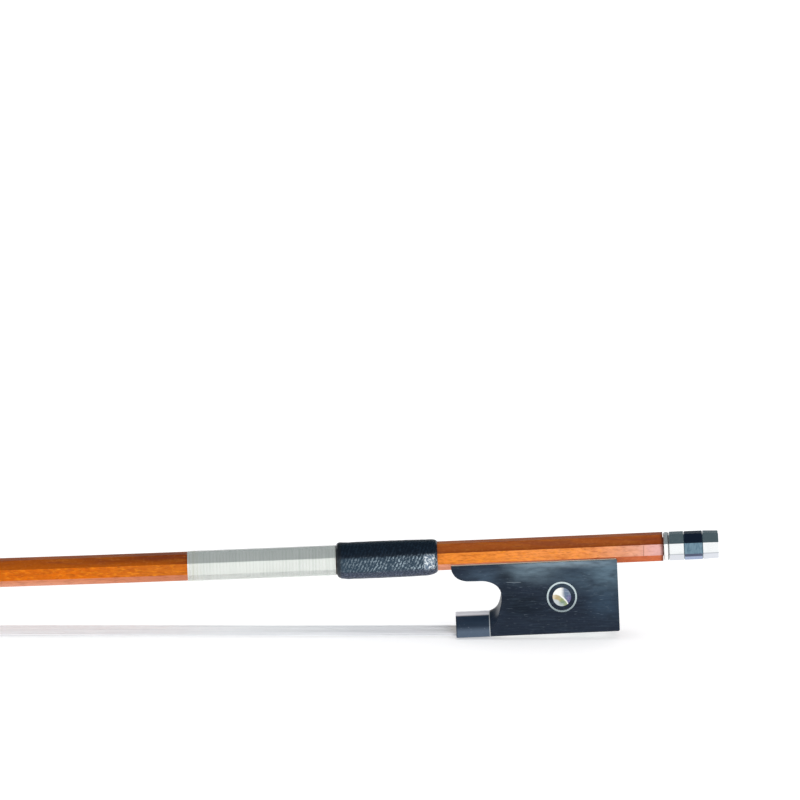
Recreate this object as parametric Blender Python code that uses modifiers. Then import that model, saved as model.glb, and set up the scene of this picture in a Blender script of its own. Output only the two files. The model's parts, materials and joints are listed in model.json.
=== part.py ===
"""A full-size violin bow, built from the separate pieces that a bow maker fits together.

Metres, +Z up. X runs along the bow, with the head at -X and the button at +X, and Y runs across it.
The bow stands on its hair and its ferrule at Z = 0, with the stick above the hair.
Three bodies move against each other: the stick, the frog that slides along it, and the adjuster,
which turns in the stick's end and draws the frog by the eyelet."""

import math

import bmesh
import bpy
import numpy as np
from mathutils import Matrix, Vector

# Overall
BOW_LENGTH = 0.7450  # beak of the head to the end of the button
HANDLE_TILT = math.radians(2.5)  # the handle rises towards the button over the level hair
OCTAGON_HALF_ANGLE = math.pi / 8
ROUND_STEPS = 32  # sides of a turned piece

# Stick, an octagon with one flat on top
BUTT_WIDTH = 0.0080  # across flats along the handle
NECK_WIDTH = 0.0051  # across flats where the head begins
TAPER_POWER = 2.3  # above 1, the stick thins mostly towards the head
STRAIGHT_SHORT_OF_LEATHER = 0.0006  # the straight part of the handle ends behind the leather
FULL_WIDTH_LENGTH = 0.1420  # part that keeps the butt's width
NECK_FROM_BEAK = 0.0320
NECK_HEIGHT = 0.0220  # of the stick's axis over the floor
NECK_SLOPE = 0.0960
LOW_POINT_FROM_BEAK = 0.3000
LOW_POINT_HEIGHT = 0.0121
RISE_BEFORE_HANDLE = 0.1275
RISE_HEIGHT = 0.0186
RISE_SLOPE = 0.0325
NIPPLE_RADIUS = 0.00275
NIPPLE_LENGTH = 0.0015
CUT_PAST_END = 0.0100  # how far a cutter runs out of the piece it opens

# Head, as distances from the beak and heights over the middle of the hair
HEAD_CREST = [(0.0255, 0.0250), (0.0180, 0.0252), (0.0147, 0.0240), (0.0121, 0.0193),
              (0.0104, 0.0150), (0.0087, 0.0113), (0.0065, 0.0084), (0.0038, 0.0070), (0.0013, 0.0072)]
HEAD_THROAT = [(0.0282, 0.0190), (0.0255, 0.01795), (0.0238, 0.0156), (0.0230, 0.0129),
               (0.02265, 0.0100), (0.0226, 0.0074), (0.0227, 0.0053), (0.0229, 0.0038), (0.0232, 0.0025)]
CHEEK_AT_THROAT = [0.00255, 0.0026, 0.00265, 0.00275, 0.0029, 0.0032, 0.0036, 0.0041, 0.0046]
CHEEK_AT_CREST = [0.0025, 0.0023, 0.0020, 0.0018, 0.0016, 0.00145, 0.0013, 0.0012, 0.00105]
THROAT_HALF_WIDTH = [0.00115, 0.0015, 0.00175, 0.00195, 0.0021, 0.0024, 0.0028, 0.0033, 0.0040]
CREST_HALF_WIDTH = [0.0010, 0.0009, 0.0007, 0.00055, 0.00045, 0.0004, 0.0004, 0.0004, 0.00045]
THROAT_CHAMFER = [0.0014, 0.0012, 0.0011, 0.00105, 0.0010, 0.00095, 0.0009, 0.00085, 0.0008]
CREST_CHAMFER = [0.00135, 0.0011, 0.0009, 0.00075, 0.0007, 0.0007, 0.0007, 0.00065, 0.0006]
SECTION_BOW = [0.0, 0.0, 0.0, 0.0, 0.00005, 0.00015, 0.0003, 0.0005, 0.00068]  # towards the plate
SEAT_LIP = (0.0235, 0.00155)  # the head's lower face, from the throat
SEAT_BEND = (0.0135, 0.00215)
SEAT_BEAK = (0.0016, 0.0064)
SEAT_HALF_WIDTH = 0.0052
BEAK_HALF_WIDTH = 0.0011
SEAT_FULLNESS = 1.5  # above 1, the plate's sides swell outwards
SEAT_EDGE = 0.0004
BEAK_TURN = [(0.0014, 0.0068), (0.0012, 0.0074), (0.0009, 0.0081)]  # the plate's turned-up end
LINER_THICKNESS = 0.0003
PLATE_THICKNESS = 0.00084
PLATE_END_SHARE = 0.7  # of its thickness that the plate keeps round the beak
TIP_MORTISE_REAR = 0.0173  # wall towards the frog
TIP_MORTISE_LENGTH = 0.0052
TIP_MORTISE_WIDTH = 0.0056
TIP_MORTISE_NARROWING = 0.0016
TIP_MORTISE_TOP = 0.0064
TIP_PLUG_FOOT = 0.0017  # over the middle of the hair
INLAY_GAP = 0.00004  # between glued pieces

# Wire winding and leather, in front of the frog's tongue
TONGUE_CLEARANCE = 0.0009  # left to the leather when the frog is right forward
LEATHER_LENGTH = 0.0295
LEATHER_WIDTH = 0.0111
LEATHER_ROUNDING = 0.0015
LEATHER_BORE_GAP = 0.0001
WINDING_LENGTH = 0.0437
WIRE_THICKNESS = 0.0005
WIRE_TURNS = 24
WIRE_GAP = 0.00045  # between turns
WIRE_SEAT_GAP = 0.00008
WIRE_CORNER = 0.0002  # the wire's bend over an edge of the stick

# Frog, as distances in front of the butt and depths below the stick's axis
HEEL_FROM_BUTT = 0.0137
TONGUE_PAST_FERRULE = 0.0008
FROG_BODY_LENGTH = 0.0382  # heel to the ferrule
FROG_DEPTH = 0.0237
RAIL_DEPTH = 0.0023
FROG_WIDTH = 0.0128
WAIST_WIDTH = 0.0096
CHEEK_RISE = 0.0052  # height over which the cheek stays full
FROG_EDGE = 0.0004
HEEL_CORNER = 0.0006
TONGUE_THICKNESS = 0.0047  # rail to the tongue's underside
TONGUE_ROUNDING = 0.0042
THROAT_DEPTH = 0.0037  # how far the throat reaches behind the ferrule
THROAT_BEND = [(0.35, 0.155), (0.08, 0.29), (0.0, 0.44), (0.135, 0.715), (0.3, 0.84), (0.57, 0.93)]
# The bend's points, as shares of the depth in front of the apex and of the height under the tongue
THROAT_STEPS = 9
THROAT_END = 87  # degrees of the throat's round that its cutter takes

# Ferrule
FERRULE_LENGTH = 0.0101
FERRULE_WIDTH = 0.0126
FERRULE_HEIGHT = 0.00625
FERRULE_SIDE = 0.0025  # height at which its arch springs
FERRULE_WALL = 0.00045
FERRULE_CORNER = 0.0008
FERRULE_PROUD = 0.00015
TENON_GAP = 0.0001

# Underslide and its pins
UNDERSLIDE_THICKNESS = 0.00045
UNDERSLIDE_PROUD = 0.00025  # of its edges over the frog's rails
SLIDING_GAP = 0.00015
UNDERSLIDE_INSET = 0.0002  # from the frog's ends
PIN_RADIUS = 0.0006
PIN_LENGTH = 0.0019
PIN_FROM_HEEL = 0.0055
PIN_FROM_TONGUE = 0.0070
HOLE_GAP = 0.00008

# Hair channel, slide and mortise under the frog
CHANNEL_DEPTH = 0.0025
CHANNEL_WIDTH = 0.0074
SLIDE_WIDTH = 0.0076  # at the frog's bottom face
SLIDE_DOVETAIL = 0.0003  # widening on each side
SLIDE_HEEL_MARGIN = 0.0033
PEARL_THICKNESS = 0.00075
BACKING_THICKNESS = 0.0006
SLIDE_GAP = 0.00006
FROG_MORTISE_FROM_HEEL = 0.0153
FROG_MORTISE_LENGTH = 0.0075
FROG_MORTISE_WIDTH = 0.0074
FROG_MORTISE_HEIGHT = 0.0060  # over the hair channel

# Eye
EYE_FROM_HEEL = 0.0167
EYE_DEPTH = 0.0127  # below the stick's axis
EYE_RING_RADIUS = 0.00447
EYE_RING_LINE = 0.0005
EYE_PEARL_RADIUS = 0.00272
EYE_FLOOR = 0.0043  # from the frog's middle plane
EYE_STEPS = 40

# Screw and eyelet
SCREW_RADIUS = 0.0014
SCREW_GAP = 0.00015
SCREW_REACH = 0.0600  # into the stick
SCREW_IN_BUTTON = 0.0133
SCREW_POINT = 0.0012
EYELET_FROM_BUTT = 0.0360
EYELET_LENGTH = 0.0046
EYELET_WIDTH = 0.0040
EYELET_TOP = 0.0021  # over the stick's axis
EYELET_SHANK_RADIUS = 0.0014
EYELET_SHANK_LENGTH = 0.0075
FROG_TRAVEL_BACK = 0.0050  # towards the button
FROG_TRAVEL_FRONT = 0.0030  # towards the head
SLOT_GAP = 0.0003

# Button
COLLAR_LENGTH = 0.0016
COLLAR_END_WIDTH = 0.0073
COLLAR_WIDTH = 0.0079
FRONT_RING_LENGTH = 0.0044
EBONY_LENGTH = 0.0054
REAR_CAP_LENGTH = 0.0047
BUTTON_WIDTH = 0.0080
CAP_END_WIDTH = 0.0076
CAP_WALL = 0.0012
BUTTON_GAP = 0.0002  # between the collar and the stick
RING_GAP = 0.00005
SPIGOT_RADIUS = 0.0029
BUTTON_EDGE = 0.00015

# Hair
HAIR_TIP_HEIGHT = 0.0003  # of its middle over the floor
HAIR_TIP_THICKNESS = 0.0006
HAIR_TIP_WIDTH = 0.0074
HAIR_LIP_WIDTH = 0.0080
HAIR_SPREAD = 0.0003  # widening soon behind the head
HAIR_SPREAD_LENGTH = 0.0500
HAIR_BEND_LENGTH = 0.0020  # over which the hair bends to the ferrule's floor, on each side
HAIR_FROG_WIDTH = 0.0104
HAIR_FROG_THICKNESS = 0.00086
HAIR_CHANNEL_WIDTH = 0.0070
HAIR_KNOT_THICKNESS = 0.0009
HAIR_GAP = 0.00007
KNOT_SIDE_GAP = 0.0003  # on each side of the hair in its mortise
HAIR_BEND_ROOM = 0.00027  # between the hair and the wall of the head's mortise
HAIR_STRIPES = 12  # ridges of strands across the ribbon
HAIR_GROOVE = 0.00006

# Knots at the hair's ends
HEAD_KNOT_HEIGHT = 0.0016
FROG_KNOT_HEIGHT = 0.0033
KNOT_WAIST = 0.72  # share of the knot's radius where the thread draws it in
THREAD_SHARE = 0.4  # of the knot's height that the thread covers
THREAD_THICKNESS = 0.00045

PARTS = None
CUTTERS = None


# Places that follow from the driving dimensions
def button_length():
    joints = BUTTON_GAP + 3 * RING_GAP
    return joints + COLLAR_LENGTH + FRONT_RING_LENGTH + EBONY_LENGTH + REAR_CAP_LENGTH


def frog_length():
    """From the heel to the front of the tongue."""
    return FROG_BODY_LENGTH + FERRULE_LENGTH + TONGUE_PAST_FERRULE


def leather_rear():
    """From the butt to the leather, which stays clear of the tongue."""
    return HEEL_FROM_BUTT + frog_length() + FROG_TRAVEL_FRONT + TONGUE_CLEARANCE


def straight_length():
    """The handle's straight part, in front of the butt."""
    return leather_rear() - STRAIGHT_SHORT_OF_LEATHER


def butt_point():
    """World X and Z of the stick's axis at its butt: the ferrule's front edge stands on the floor."""
    front = HEEL_FROM_BUTT + FROG_BODY_LENGTH + FERRULE_LENGTH
    drop = FROG_DEPTH + FERRULE_PROUD
    x = BOW_LENGTH / 2 - button_length() * math.cos(HANDLE_TILT)
    x -= CAP_END_WIDTH / 2 * math.sin(HANDLE_TILT)
    return x, front * math.sin(HANDLE_TILT) + drop * math.cos(HANDLE_TILT)


def handle_matrix():
    """The handle's own frame: origin at the butt, X along the axis towards the button."""
    x, z = butt_point()
    return Matrix.Translation((x, 0, z)) @ Matrix.Rotation(-HANDLE_TILT, 4, "Y")


def handle_to_world(x, z):
    point = handle_matrix() @ Vector((x, 0, z))
    return point.x, point.z


def beak_to_world(from_beak, over_hair):
    return from_beak - BOW_LENGTH / 2, over_hair + HAIR_TIP_HEIGHT


# Small geometry helpers
def hermite(start, end, start_rate, end_rate, share):
    """Cubic from start to end, with its rates of change given over the whole span."""
    square, cube = share**2, share**3
    value = start * (2 * cube - 3 * square + 1) + start_rate * (cube - 2 * square + share)
    return value + end * (3 * square - 2 * cube) + end_rate * (cube - square)


def smooth_rows(rows, steps, along=None):
    """Rows of numbers, with steps - 1 more rows worked out between each two on a smooth curve."""
    rows = np.array(rows, float)
    spans = np.ones(len(rows) - 1) if along is None else np.diff(along)
    secants = np.diff(rows, axis=0) / spans[:, None]
    rates = np.empty_like(rows)
    rates[0], rates[-1] = secants[0], secants[-1]
    for i in range(1, len(rows) - 1):
        before, after = spans[i - 1], spans[i]
        rates[i] = (secants[i - 1] * after + secants[i] * before) / (before + after)
    dense = []
    for i, span in enumerate(spans):
        for k in range(steps):
            ends = rows[i], rows[i + 1], rates[i] * span, rates[i + 1] * span
            dense.append(hermite(*ends, k / steps))
    return np.array(dense + [rows[-1]])


def path_lengths(points):
    """Distance along the path at each point."""
    return np.concatenate([[0], np.cumsum(np.linalg.norm(np.diff(points, axis=0), axis=1))])


def arc(centre, radius, start, end, steps):
    """Points of an arc in a plane, with its angles in degrees."""
    angles = np.radians(np.linspace(start, end, steps + 1))
    return [(centre[0] + radius * math.cos(a), centre[1] + radius * math.sin(a)) for a in angles]


def corner_radius(across_flats):
    """From an octagon's middle to its corners."""
    return across_flats / 2 / math.cos(OCTAGON_HALF_ANGLE)


# Blender helpers
def clear_scene():
    for obj in list(bpy.data.objects):
        bpy.data.objects.remove(obj, do_unlink=True)


def new_collection(name):
    collection = bpy.data.collections.new(name)
    bpy.context.scene.collection.children.link(collection)
    return collection


def linear_colour(hex_colour):
    values = [int(hex_colour[i : i + 2], 16) / 255 for i in (1, 3, 5)]
    return [v / 12.92 if v <= 0.04045 else ((v + 0.055) / 1.055) ** 2.4 for v in values] + [1.0]


def material(name, hex_colour, roughness, metallic=0.0):
    made = bpy.data.materials.new(name)
    made.use_nodes = True
    shader = made.node_tree.nodes["Principled BSDF"]
    shader.inputs["Base Color"].default_value = linear_colour(hex_colour)
    shader.inputs["Roughness"].default_value = roughness
    shader.inputs["Metallic"].default_value = metallic
    made.diffuse_color = linear_colour(hex_colour)
    return made


def place(name, mesh, finish, parent=None, matrix=None):
    """Puts a mesh in the scene: a part if it has a finish, or else a cutter."""
    obj = bpy.data.objects.new(name, mesh)
    if finish:
        PARTS.objects.link(obj)
        mesh.materials.clear()
        mesh.materials.append(finish)
    else:
        CUTTERS.objects.link(obj)
        obj.hide_render = True
        obj.display_type = "WIRE"
    obj.parent = parent
    obj.matrix_local = matrix or Matrix.Identity(4)
    return obj


def loft(name, rings, finish, parent=None, cap_strips=False):
    """Skin through rings of equally many points. cap_strips closes the last ring with strips
    between its two sides, so that a curved face stays curved."""
    bm = bmesh.new()
    layers = [[bm.verts.new(point) for point in ring] for ring in rings]
    count = len(layers[0])
    for low, high in zip(layers, layers[1:]):
        for i in range(count):
            j = (i + 1) % count
            bm.faces.new((low[i], low[j], high[j], high[i]))
    bm.faces.new(reversed(layers[0]))
    if cap_strips:
        last = layers[-1]
        for i in range(count // 2 - 1):
            bm.faces.new((last[i], last[i + 1], last[count - 2 - i], last[count - 1 - i]))
    else:
        bm.faces.new(layers[-1])
    bmesh.ops.recalc_face_normals(bm, faces=bm.faces)
    mesh = bpy.data.meshes.new(name)
    bm.to_mesh(mesh)
    bm.free()
    return place(name, mesh, finish, parent)


PLANES = {
    "XZ": Matrix(((1, 0, 0, 0), (0, 0, -1, 0), (0, 1, 0, 0), (0, 0, 0, 1))),
    "YZ": Matrix(((0, 0, 1, 0), (1, 0, 0, 0), (0, 1, 0, 0), (0, 0, 0, 1))),
    "XY": Matrix.Identity(4),
}


def extruded(name, outlines, plane, start, end, finish, parent=None):
    """A flat outline, with any outlines inside it as holes, drawn out square to its plane."""
    curve = bpy.data.curves.new(name, "CURVE")
    curve.dimensions = "2D"
    curve.fill_mode = "BOTH"
    curve.extrude = (end - start) / 2
    for outline in outlines:
        spline = curve.splines.new("POLY")
        spline.points.add(len(outline) - 1)
        for point, (a, b) in zip(spline.points, outline):
            point.co = (a, b, 0, 1)
        spline.use_cyclic_u = True
    drawn = bpy.data.objects.new(name, curve)
    bpy.context.scene.collection.objects.link(drawn)
    graph = bpy.context.evaluated_depsgraph_get()
    mesh = bpy.data.meshes.new_from_object(drawn.evaluated_get(graph))
    bpy.data.objects.remove(drawn)
    bpy.data.curves.remove(curve)
    mesh.name = name
    bm = bmesh.new()
    bm.from_mesh(mesh)
    bmesh.ops.remove_doubles(bm, verts=bm.verts, dist=1e-7)
    bmesh.ops.recalc_face_normals(bm, faces=bm.faces)
    bm.to_mesh(mesh)
    bm.free()
    middle = Matrix.Translation((0, 0, (start + end) / 2 * (-1 if plane == "XZ" else 1)))
    return place(name, mesh, finish, parent, PLANES[plane] @ middle)


def turned(name, profile, finish, parent=None, steps=ROUND_STEPS, ring=False, matrix=None):
    """A profile of (radius, height), running down the outer side, turned about Z."""
    mesh = bpy.data.meshes.new(name)
    edges = [(i, i + 1) for i in range(len(profile) - 1)]
    if ring:
        edges.append((len(profile) - 1, 0))
    mesh.from_pydata([(radius, 0, height) for radius, height in profile], edges, [])
    obj = place(name, mesh, finish, parent, matrix)
    screw = obj.modifiers.new("turn", "SCREW")
    screw.axis = "Z"
    screw.angle = 2 * math.pi
    screw.steps = steps
    screw.render_steps = steps
    screw.use_merge_vertices = True
    screw.merge_threshold = 1e-6
    screw.use_smooth_shade = steps > 8
    return obj


ALONG_X = Matrix.Rotation(math.pi / 2, 4, "Y")
FLAT_ON_TOP = Matrix.Rotation(math.pi / 2, 4, "Y") @ Matrix.Rotation(OCTAGON_HALF_ANGLE, 4, "Z")
ALONG_Y = Matrix.Rotation(-math.pi / 2, 4, "X")


def cylinder_profile(radius, low, high):
    return [(0, high), (radius, high), (radius, low), (0, low)]


def block(name, low, high, finish, parent=None, bevel=0.0):
    """A box between two corners, with its edges rounded if a bevel is given."""
    low, high = Vector(low), Vector(high)
    bm = bmesh.new()
    bmesh.ops.create_cube(bm, size=1)
    bmesh.ops.scale(bm, vec=high - low, verts=bm.verts)
    mesh = bpy.data.meshes.new(name)
    bm.to_mesh(mesh)
    bm.free()
    obj = place(name, mesh, finish, parent, Matrix.Translation((low + high) / 2))
    if bevel:
        edge = obj.modifiers.new("edge", "BEVEL")
        edge.width = bevel
        edge.segments = 2
    return obj


def boolean(target, other, operation="DIFFERENCE"):
    cut = target.modifiers.new(other.name, "BOOLEAN")
    cut.operation = operation
    cut.solver = "EXACT"
    cut.object = other


# Stick
def camber_stations():
    """(X, height, slope) of the stick's axis where its shape is set."""
    beak = -BOW_LENGTH / 2
    handle_x, handle_z = handle_to_world(-straight_length(), 0)
    return [
        (beak + NECK_FROM_BEAK, NECK_HEIGHT, -NECK_SLOPE),
        (beak + LOW_POINT_FROM_BEAK, LOW_POINT_HEIGHT, 0.0),
        (handle_x - RISE_BEFORE_HANDLE, RISE_HEIGHT, RISE_SLOPE),
        (handle_x, handle_z, math.tan(HANDLE_TILT)),
    ]


def stick_axis(x):
    """Height and slope of the stick's axis at X."""
    stations = camber_stations()
    if x >= stations[-1][0]:
        last_x, last_z, slope = stations[-1]
        return last_z + (x - last_x) * slope, slope
    for (x0, z0, slope0), (x1, z1, slope1) in zip(stations, stations[1:]):
        if x <= x1:
            span = x1 - x0
            near = 1e-4
            height = hermite(z0, z1, slope0 * span, slope1 * span, (x - x0) / span)
            beyond = hermite(z0, z1, slope0 * span, slope1 * span, (x - x0) / span + near)
            return height, (beyond - height) / (near * span)


def stick_width(x):
    """Across flats at X."""
    neck = -BOW_LENGTH / 2 + NECK_FROM_BEAK
    full = butt_point()[0] - FULL_WIDTH_LENGTH
    share = min(max((x - neck) / (full - neck), 0), 1)
    return BUTT_WIDTH - (BUTT_WIDTH - NECK_WIDTH) * (1 - share) ** TAPER_POWER


CHEEK_POINTS = 6  # spans across a cheek


def section_ring(foot, crest, widths, chamfers, fullness, bow=0.0):
    """One section of the stick or head, from its lower or throat side to its crest.

    widths are the half widths at the foot, at both ends of the cheek and at the crest. bow is how
    far the section's middle stands out towards the head's plate."""
    foot, crest = np.array(foot), np.array(crest)
    depth = np.linalg.norm(crest - foot)
    outward = np.array((foot[1] - crest[1], crest[0] - foot[0])) / depth
    low, high = chamfers[0] / depth, 1 - chamfers[1] / depth
    side = [(0.0, widths[0])]
    for k in range(CHEEK_POINTS + 1):
        share = k / CHEEK_POINTS
        half = widths[1] + (widths[2] - widths[1]) * share**fullness
        side.append((low + (high - low) * share, half))
    side.append((1.0, widths[3]))
    points = [(foot + (crest - foot) * v + outward * bow * 4 * v * (1 - v), half) for v, half in side]
    left = [(p[0], half, p[1]) for p, half in points]
    return left + [(x, -y, z) for x, y, z in reversed(left)]


def octagon_values(across_flats):
    """Half widths and chamfers that make section_ring an octagon."""
    half = across_flats / 2
    flat = half * math.tan(OCTAGON_HALF_ANGLE)
    return [flat, half, half, flat], [half - flat, half - flat]


def stick_ring(x):
    height, slope = stick_axis(x)
    normal = np.array((-slope, 1.0)) / math.hypot(slope, 1)
    middle = np.array((x, height))
    half = stick_width(x) / 2
    widths, chamfers = octagon_values(2 * half)
    return section_ring(middle - normal * half, middle + normal * half, widths, chamfers, 1.0)


def seat_point(share):
    """Point of the head's lower face, from the throat's lip (0) to the beak (1), in head terms."""
    lip, bend, beak = (np.array(p) for p in (SEAT_LIP, SEAT_BEND, SEAT_BEAK))
    return lip * (1 - share) ** 2 + bend * 2 * share * (1 - share) + beak * share**2


def seat_half_width(share):
    return SEAT_HALF_WIDTH - (SEAT_HALF_WIDTH - BEAK_HALF_WIDTH) * share**SEAT_FULLNESS


def seat_ring():
    """Outline of the head's lower face."""
    length = math.dist(SEAT_LIP, SEAT_BEAK)
    edge = SEAT_EDGE / length
    shares = [0.0] + list(np.linspace(edge, 1 - edge, CHEEK_POINTS + 1)) + [1.0]
    left = []
    for share in shares:
        x, z = beak_to_world(*seat_point(share))
        half = seat_half_width(share)
        if share in (0.0, 1.0):
            half -= SEAT_EDGE / 2
        left.append((x, half, z))
    return left + [(x, -y, z) for x, y, z in reversed(left)]


def head_rings(steps=3):
    """Sections that turn from square to the stick, at the neck, to along the plate."""
    neck_x = -BOW_LENGTH / 2 + NECK_FROM_BEAK
    height, slope = stick_axis(neck_x)
    normal = np.array((-slope, 1.0)) / math.hypot(slope, 1)
    half = NECK_WIDTH / 2
    foot = np.array((neck_x, height)) - normal * half
    crest = np.array((neck_x, height)) + normal * half
    widths, chamfers = octagon_values(NECK_WIDTH)
    rows = [[*foot, *crest, *widths, *chamfers, 0.0]]
    for i, (throat, top) in enumerate(zip(HEAD_THROAT, HEAD_CREST)):
        widths = [THROAT_HALF_WIDTH[i], CHEEK_AT_THROAT[i], CHEEK_AT_CREST[i], CREST_HALF_WIDTH[i]]
        ends = [*beak_to_world(*throat), *beak_to_world(*top)]
        rows.append(ends + widths + [THROAT_CHAMFER[i], CREST_CHAMFER[i], SECTION_BOW[i]])
    rings = []
    dense = smooth_rows(rows, steps)
    for i, row in enumerate(dense):
        fullness = 1 + (SEAT_FULLNESS - 1) * i / (len(dense) - 1)
        rings.append(section_ring(row[0:2], row[2:4], row[4:8], row[8:10], fullness, row[10]))
    return rings


def make_stick(finish, handle):
    stations = camber_stations()
    butt = butt_point()[0]
    rings = [stick_ring(butt)]
    for (x0, _, _), (x1, _, _), steps in zip(stations[::-1], stations[-2::-1], (5, 9, 11)):
        rings += [stick_ring(x) for x in np.linspace(x0, x1, steps + 1)[:-1]]
    stick = loft("stick", rings + head_rings() + [seat_ring()], finish, cap_strips=True)
    nipple = cylinder_profile(NIPPLE_RADIUS, -NIPPLE_LENGTH, NIPPLE_LENGTH)
    boolean(stick, turned("nipple_former", nipple, None, handle, matrix=ALONG_X), "UNION")
    half_width = EYELET_WIDTH / 2 + SLOT_GAP
    front = -EYELET_FROM_BUTT - EYELET_LENGTH / 2 - FROG_TRAVEL_FRONT - SLOT_GAP
    rear = -EYELET_FROM_BUTT + EYELET_LENGTH / 2 + FROG_TRAVEL_BACK + SLOT_GAP
    low, high = (front, -half_width, -BUTT_WIDTH), (rear, half_width, EYELET_TOP + SLOT_GAP)
    boolean(stick, block("eyelet_slot_cutter", low, high, None, handle))
    bore = cylinder_profile(SCREW_RADIUS + SCREW_GAP, -SCREW_REACH - SLOT_GAP, CUT_PAST_END)
    boolean(stick, turned("screw_bore_cutter", bore, None, handle, matrix=ALONG_X))
    return stick


# Head fittings
def tip_mortise_cutter():
    rear, front = TIP_MORTISE_REAR, TIP_MORTISE_REAR - TIP_MORTISE_LENGTH
    wide, narrow = TIP_MORTISE_WIDTH / 2, (TIP_MORTISE_WIDTH - TIP_MORTISE_NARROWING) / 2
    outline = [(front, -narrow), (rear, -wide), (rear, wide), (front, narrow)]
    outline = [(beak_to_world(x, 0)[0], y) for x, y in outline]
    top = beak_to_world(0, TIP_MORTISE_TOP)[1]
    return extruded("tip_mortise_cutter", [outline], "XY", -0.002, top, None)


def plate_strip(name, inner, thickness, finish):
    """A thin piece that follows the head's lower face and turns up round the beak."""
    shares = np.linspace(0, 1, 15)
    path = [seat_point(share) for share in shares] + [np.array(p) for p in BEAK_TURN]
    halves = [seat_half_width(share) for share in shares]
    halves += [BEAK_HALF_WIDTH * share for share in (0.95, 0.85, 0.7)]
    rings = []
    for i, point in enumerate(path):
        along = path[min(i + 1, len(path) - 1)] - path[max(i - 1, 0)]
        outward = np.array((-along[1], along[0])) / np.linalg.norm(along)
        turn = max(0, i - len(shares) + 1) / len(BEAK_TURN)
        outer = inner + thickness * (1 - (1 - PLATE_END_SHARE) * turn)
        x0, z0 = beak_to_world(*(point + outward * inner))
        x1, z1 = beak_to_world(*(point + outward * outer))
        y = halves[i]
        rings.append([(x0, y, z0), (x1, y, z1), (x1, -y, z1), (x0, -y, z0)])
    return loft(name, rings, finish)


def make_head_fittings(finishes, mortise):
    liner = plate_strip("tip_liner", INLAY_GAP, LINER_THICKNESS, finishes["liner"])
    plate_inner = 2 * INLAY_GAP + LINER_THICKNESS
    plate = plate_strip("tip_plate", plate_inner, PLATE_THICKNESS, finishes["plate"])
    boolean(liner, mortise)
    boolean(plate, mortise)
    front = TIP_MORTISE_REAR - TIP_MORTISE_LENGTH + HAIR_GAP
    rear = tip_hair_x() - HAIR_KNOT_THICKNESS / 2 - HAIR_GAP
    half = (TIP_MORTISE_WIDTH - TIP_MORTISE_NARROWING) / 2 - HAIR_GAP
    low = beak_to_world(front, TIP_PLUG_FOOT)
    high = beak_to_world(rear, knot_bottom() - 2 * HAIR_GAP)
    corners = (low[0], -half, low[1]), (high[0], half, high[1])
    block("head_plug", *corners, finishes["plug"], bevel=0.0002)


def tip_hair_x():
    """Distance from the beak of the hair's middle inside the head."""
    return TIP_MORTISE_REAR - HAIR_KNOT_THICKNESS / 2 - HAIR_BEND_ROOM


def knot_bottom():
    return TIP_MORTISE_TOP - HEAD_KNOT_HEIGHT - HAIR_GAP


def make_knot(prefix, centre, radius, height, finishes, parent=None):
    """The tied end of the hair, waisted under the thread that binds it."""
    x, z = centre
    waist = radius * KNOT_WAIST
    half, band = height / 2, height * THREAD_SHARE / 2
    slope = height * 0.12
    profile = [(0, half), (radius * 0.9, half), (radius, half - slope), (waist, band),
               (waist, -band), (radius, -half + slope), (radius * 0.9, -half), (0, -half)]
    at = Matrix.Translation((x, 0, z))
    turned(prefix + "_hair_knot", profile, finishes["hair"], parent, 20, matrix=at)
    inner, outer = waist + HAIR_GAP, waist + THREAD_THICKNESS
    band -= HAIR_GAP
    thread = [(outer, band), (outer, -band), (inner, -band), (inner, band)]
    turned(prefix + "_knot_thread", thread, finishes["thread"], parent, 20, True, at)


def make_head_knot(finishes):
    front = TIP_MORTISE_REAR - TIP_MORTISE_LENGTH
    radius = (TIP_MORTISE_WIDTH - TIP_MORTISE_NARROWING) / 2 - HAIR_GAP
    centre = beak_to_world(front + radius + 3 * HAIR_GAP, knot_bottom() + HEAD_KNOT_HEIGHT / 2)
    make_knot("head", centre, radius - HAIR_GAP, HEAD_KNOT_HEIGHT, finishes)


# Winding and leather
def handle_to_bow(along):
    """World X at a distance in front of the butt."""
    return handle_to_world(-along, 0)[0]


def winding_corners(half):
    """Points round the stick: two close to each edge, where the wire bends over it."""
    corners = []
    for k in range(8):
        angle = math.pi / 4 * k + OCTAGON_HALF_ANGLE
        corner = Vector((math.cos(angle), math.sin(angle))) * half / math.cos(OCTAGON_HALF_ANGLE)
        for side in (-1, 1):
            along = angle + side * (math.pi / 2 + OCTAGON_HALF_ANGLE)
            corners.append(corner + Vector((math.cos(along), math.sin(along))) * WIRE_CORNER)
    return corners


def make_winding(finish):
    """One unbroken flat wire, wound round the stick's facets and along its camber."""
    start = handle_to_bow(leather_rear() + LEATHER_LENGTH + INLAY_GAP * 5)
    end = start - WINDING_LENGTH
    pitch = WINDING_LENGTH / (WIRE_TURNS + 1)
    width = pitch - WIRE_GAP
    inner = BUTT_WIDTH / 2 + WIRE_SEAT_GAP
    rings, middles = [], []
    inside, outside = winding_corners(inner), winding_corners(inner + WIRE_THICKNESS)
    count = len(inside)
    for i in range(WIRE_TURNS * count + 1):
        x = start - width / 2 - (start - end - width) * i / (WIRE_TURNS * count)
        height, slope = stick_axis(x)
        ring = []
        for shape, offset in ((inside, -width), (outside, -width), (outside, width), (inside, width)):
            across, up = shape[i % count]
            place_x = x + offset / 2 - up * slope
            ring.append((place_x, across, height + up + offset / 2 * slope))
        rings.append(ring)
        middles.append(np.mean(ring, axis=0))
    gap = min(math.dist(a, b) for a, b in zip(middles, middles[count:])) - width
    print(f"wire winding: {WIRE_TURNS} turns, least gap to itself {gap * 1000:.2f} mm")
    return loft("wire_winding", rings, finish)


def octagon_outline(across_flats):
    radius = corner_radius(across_flats)
    return arc((0, 0), radius, 22.5, 337.5, 7)


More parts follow.
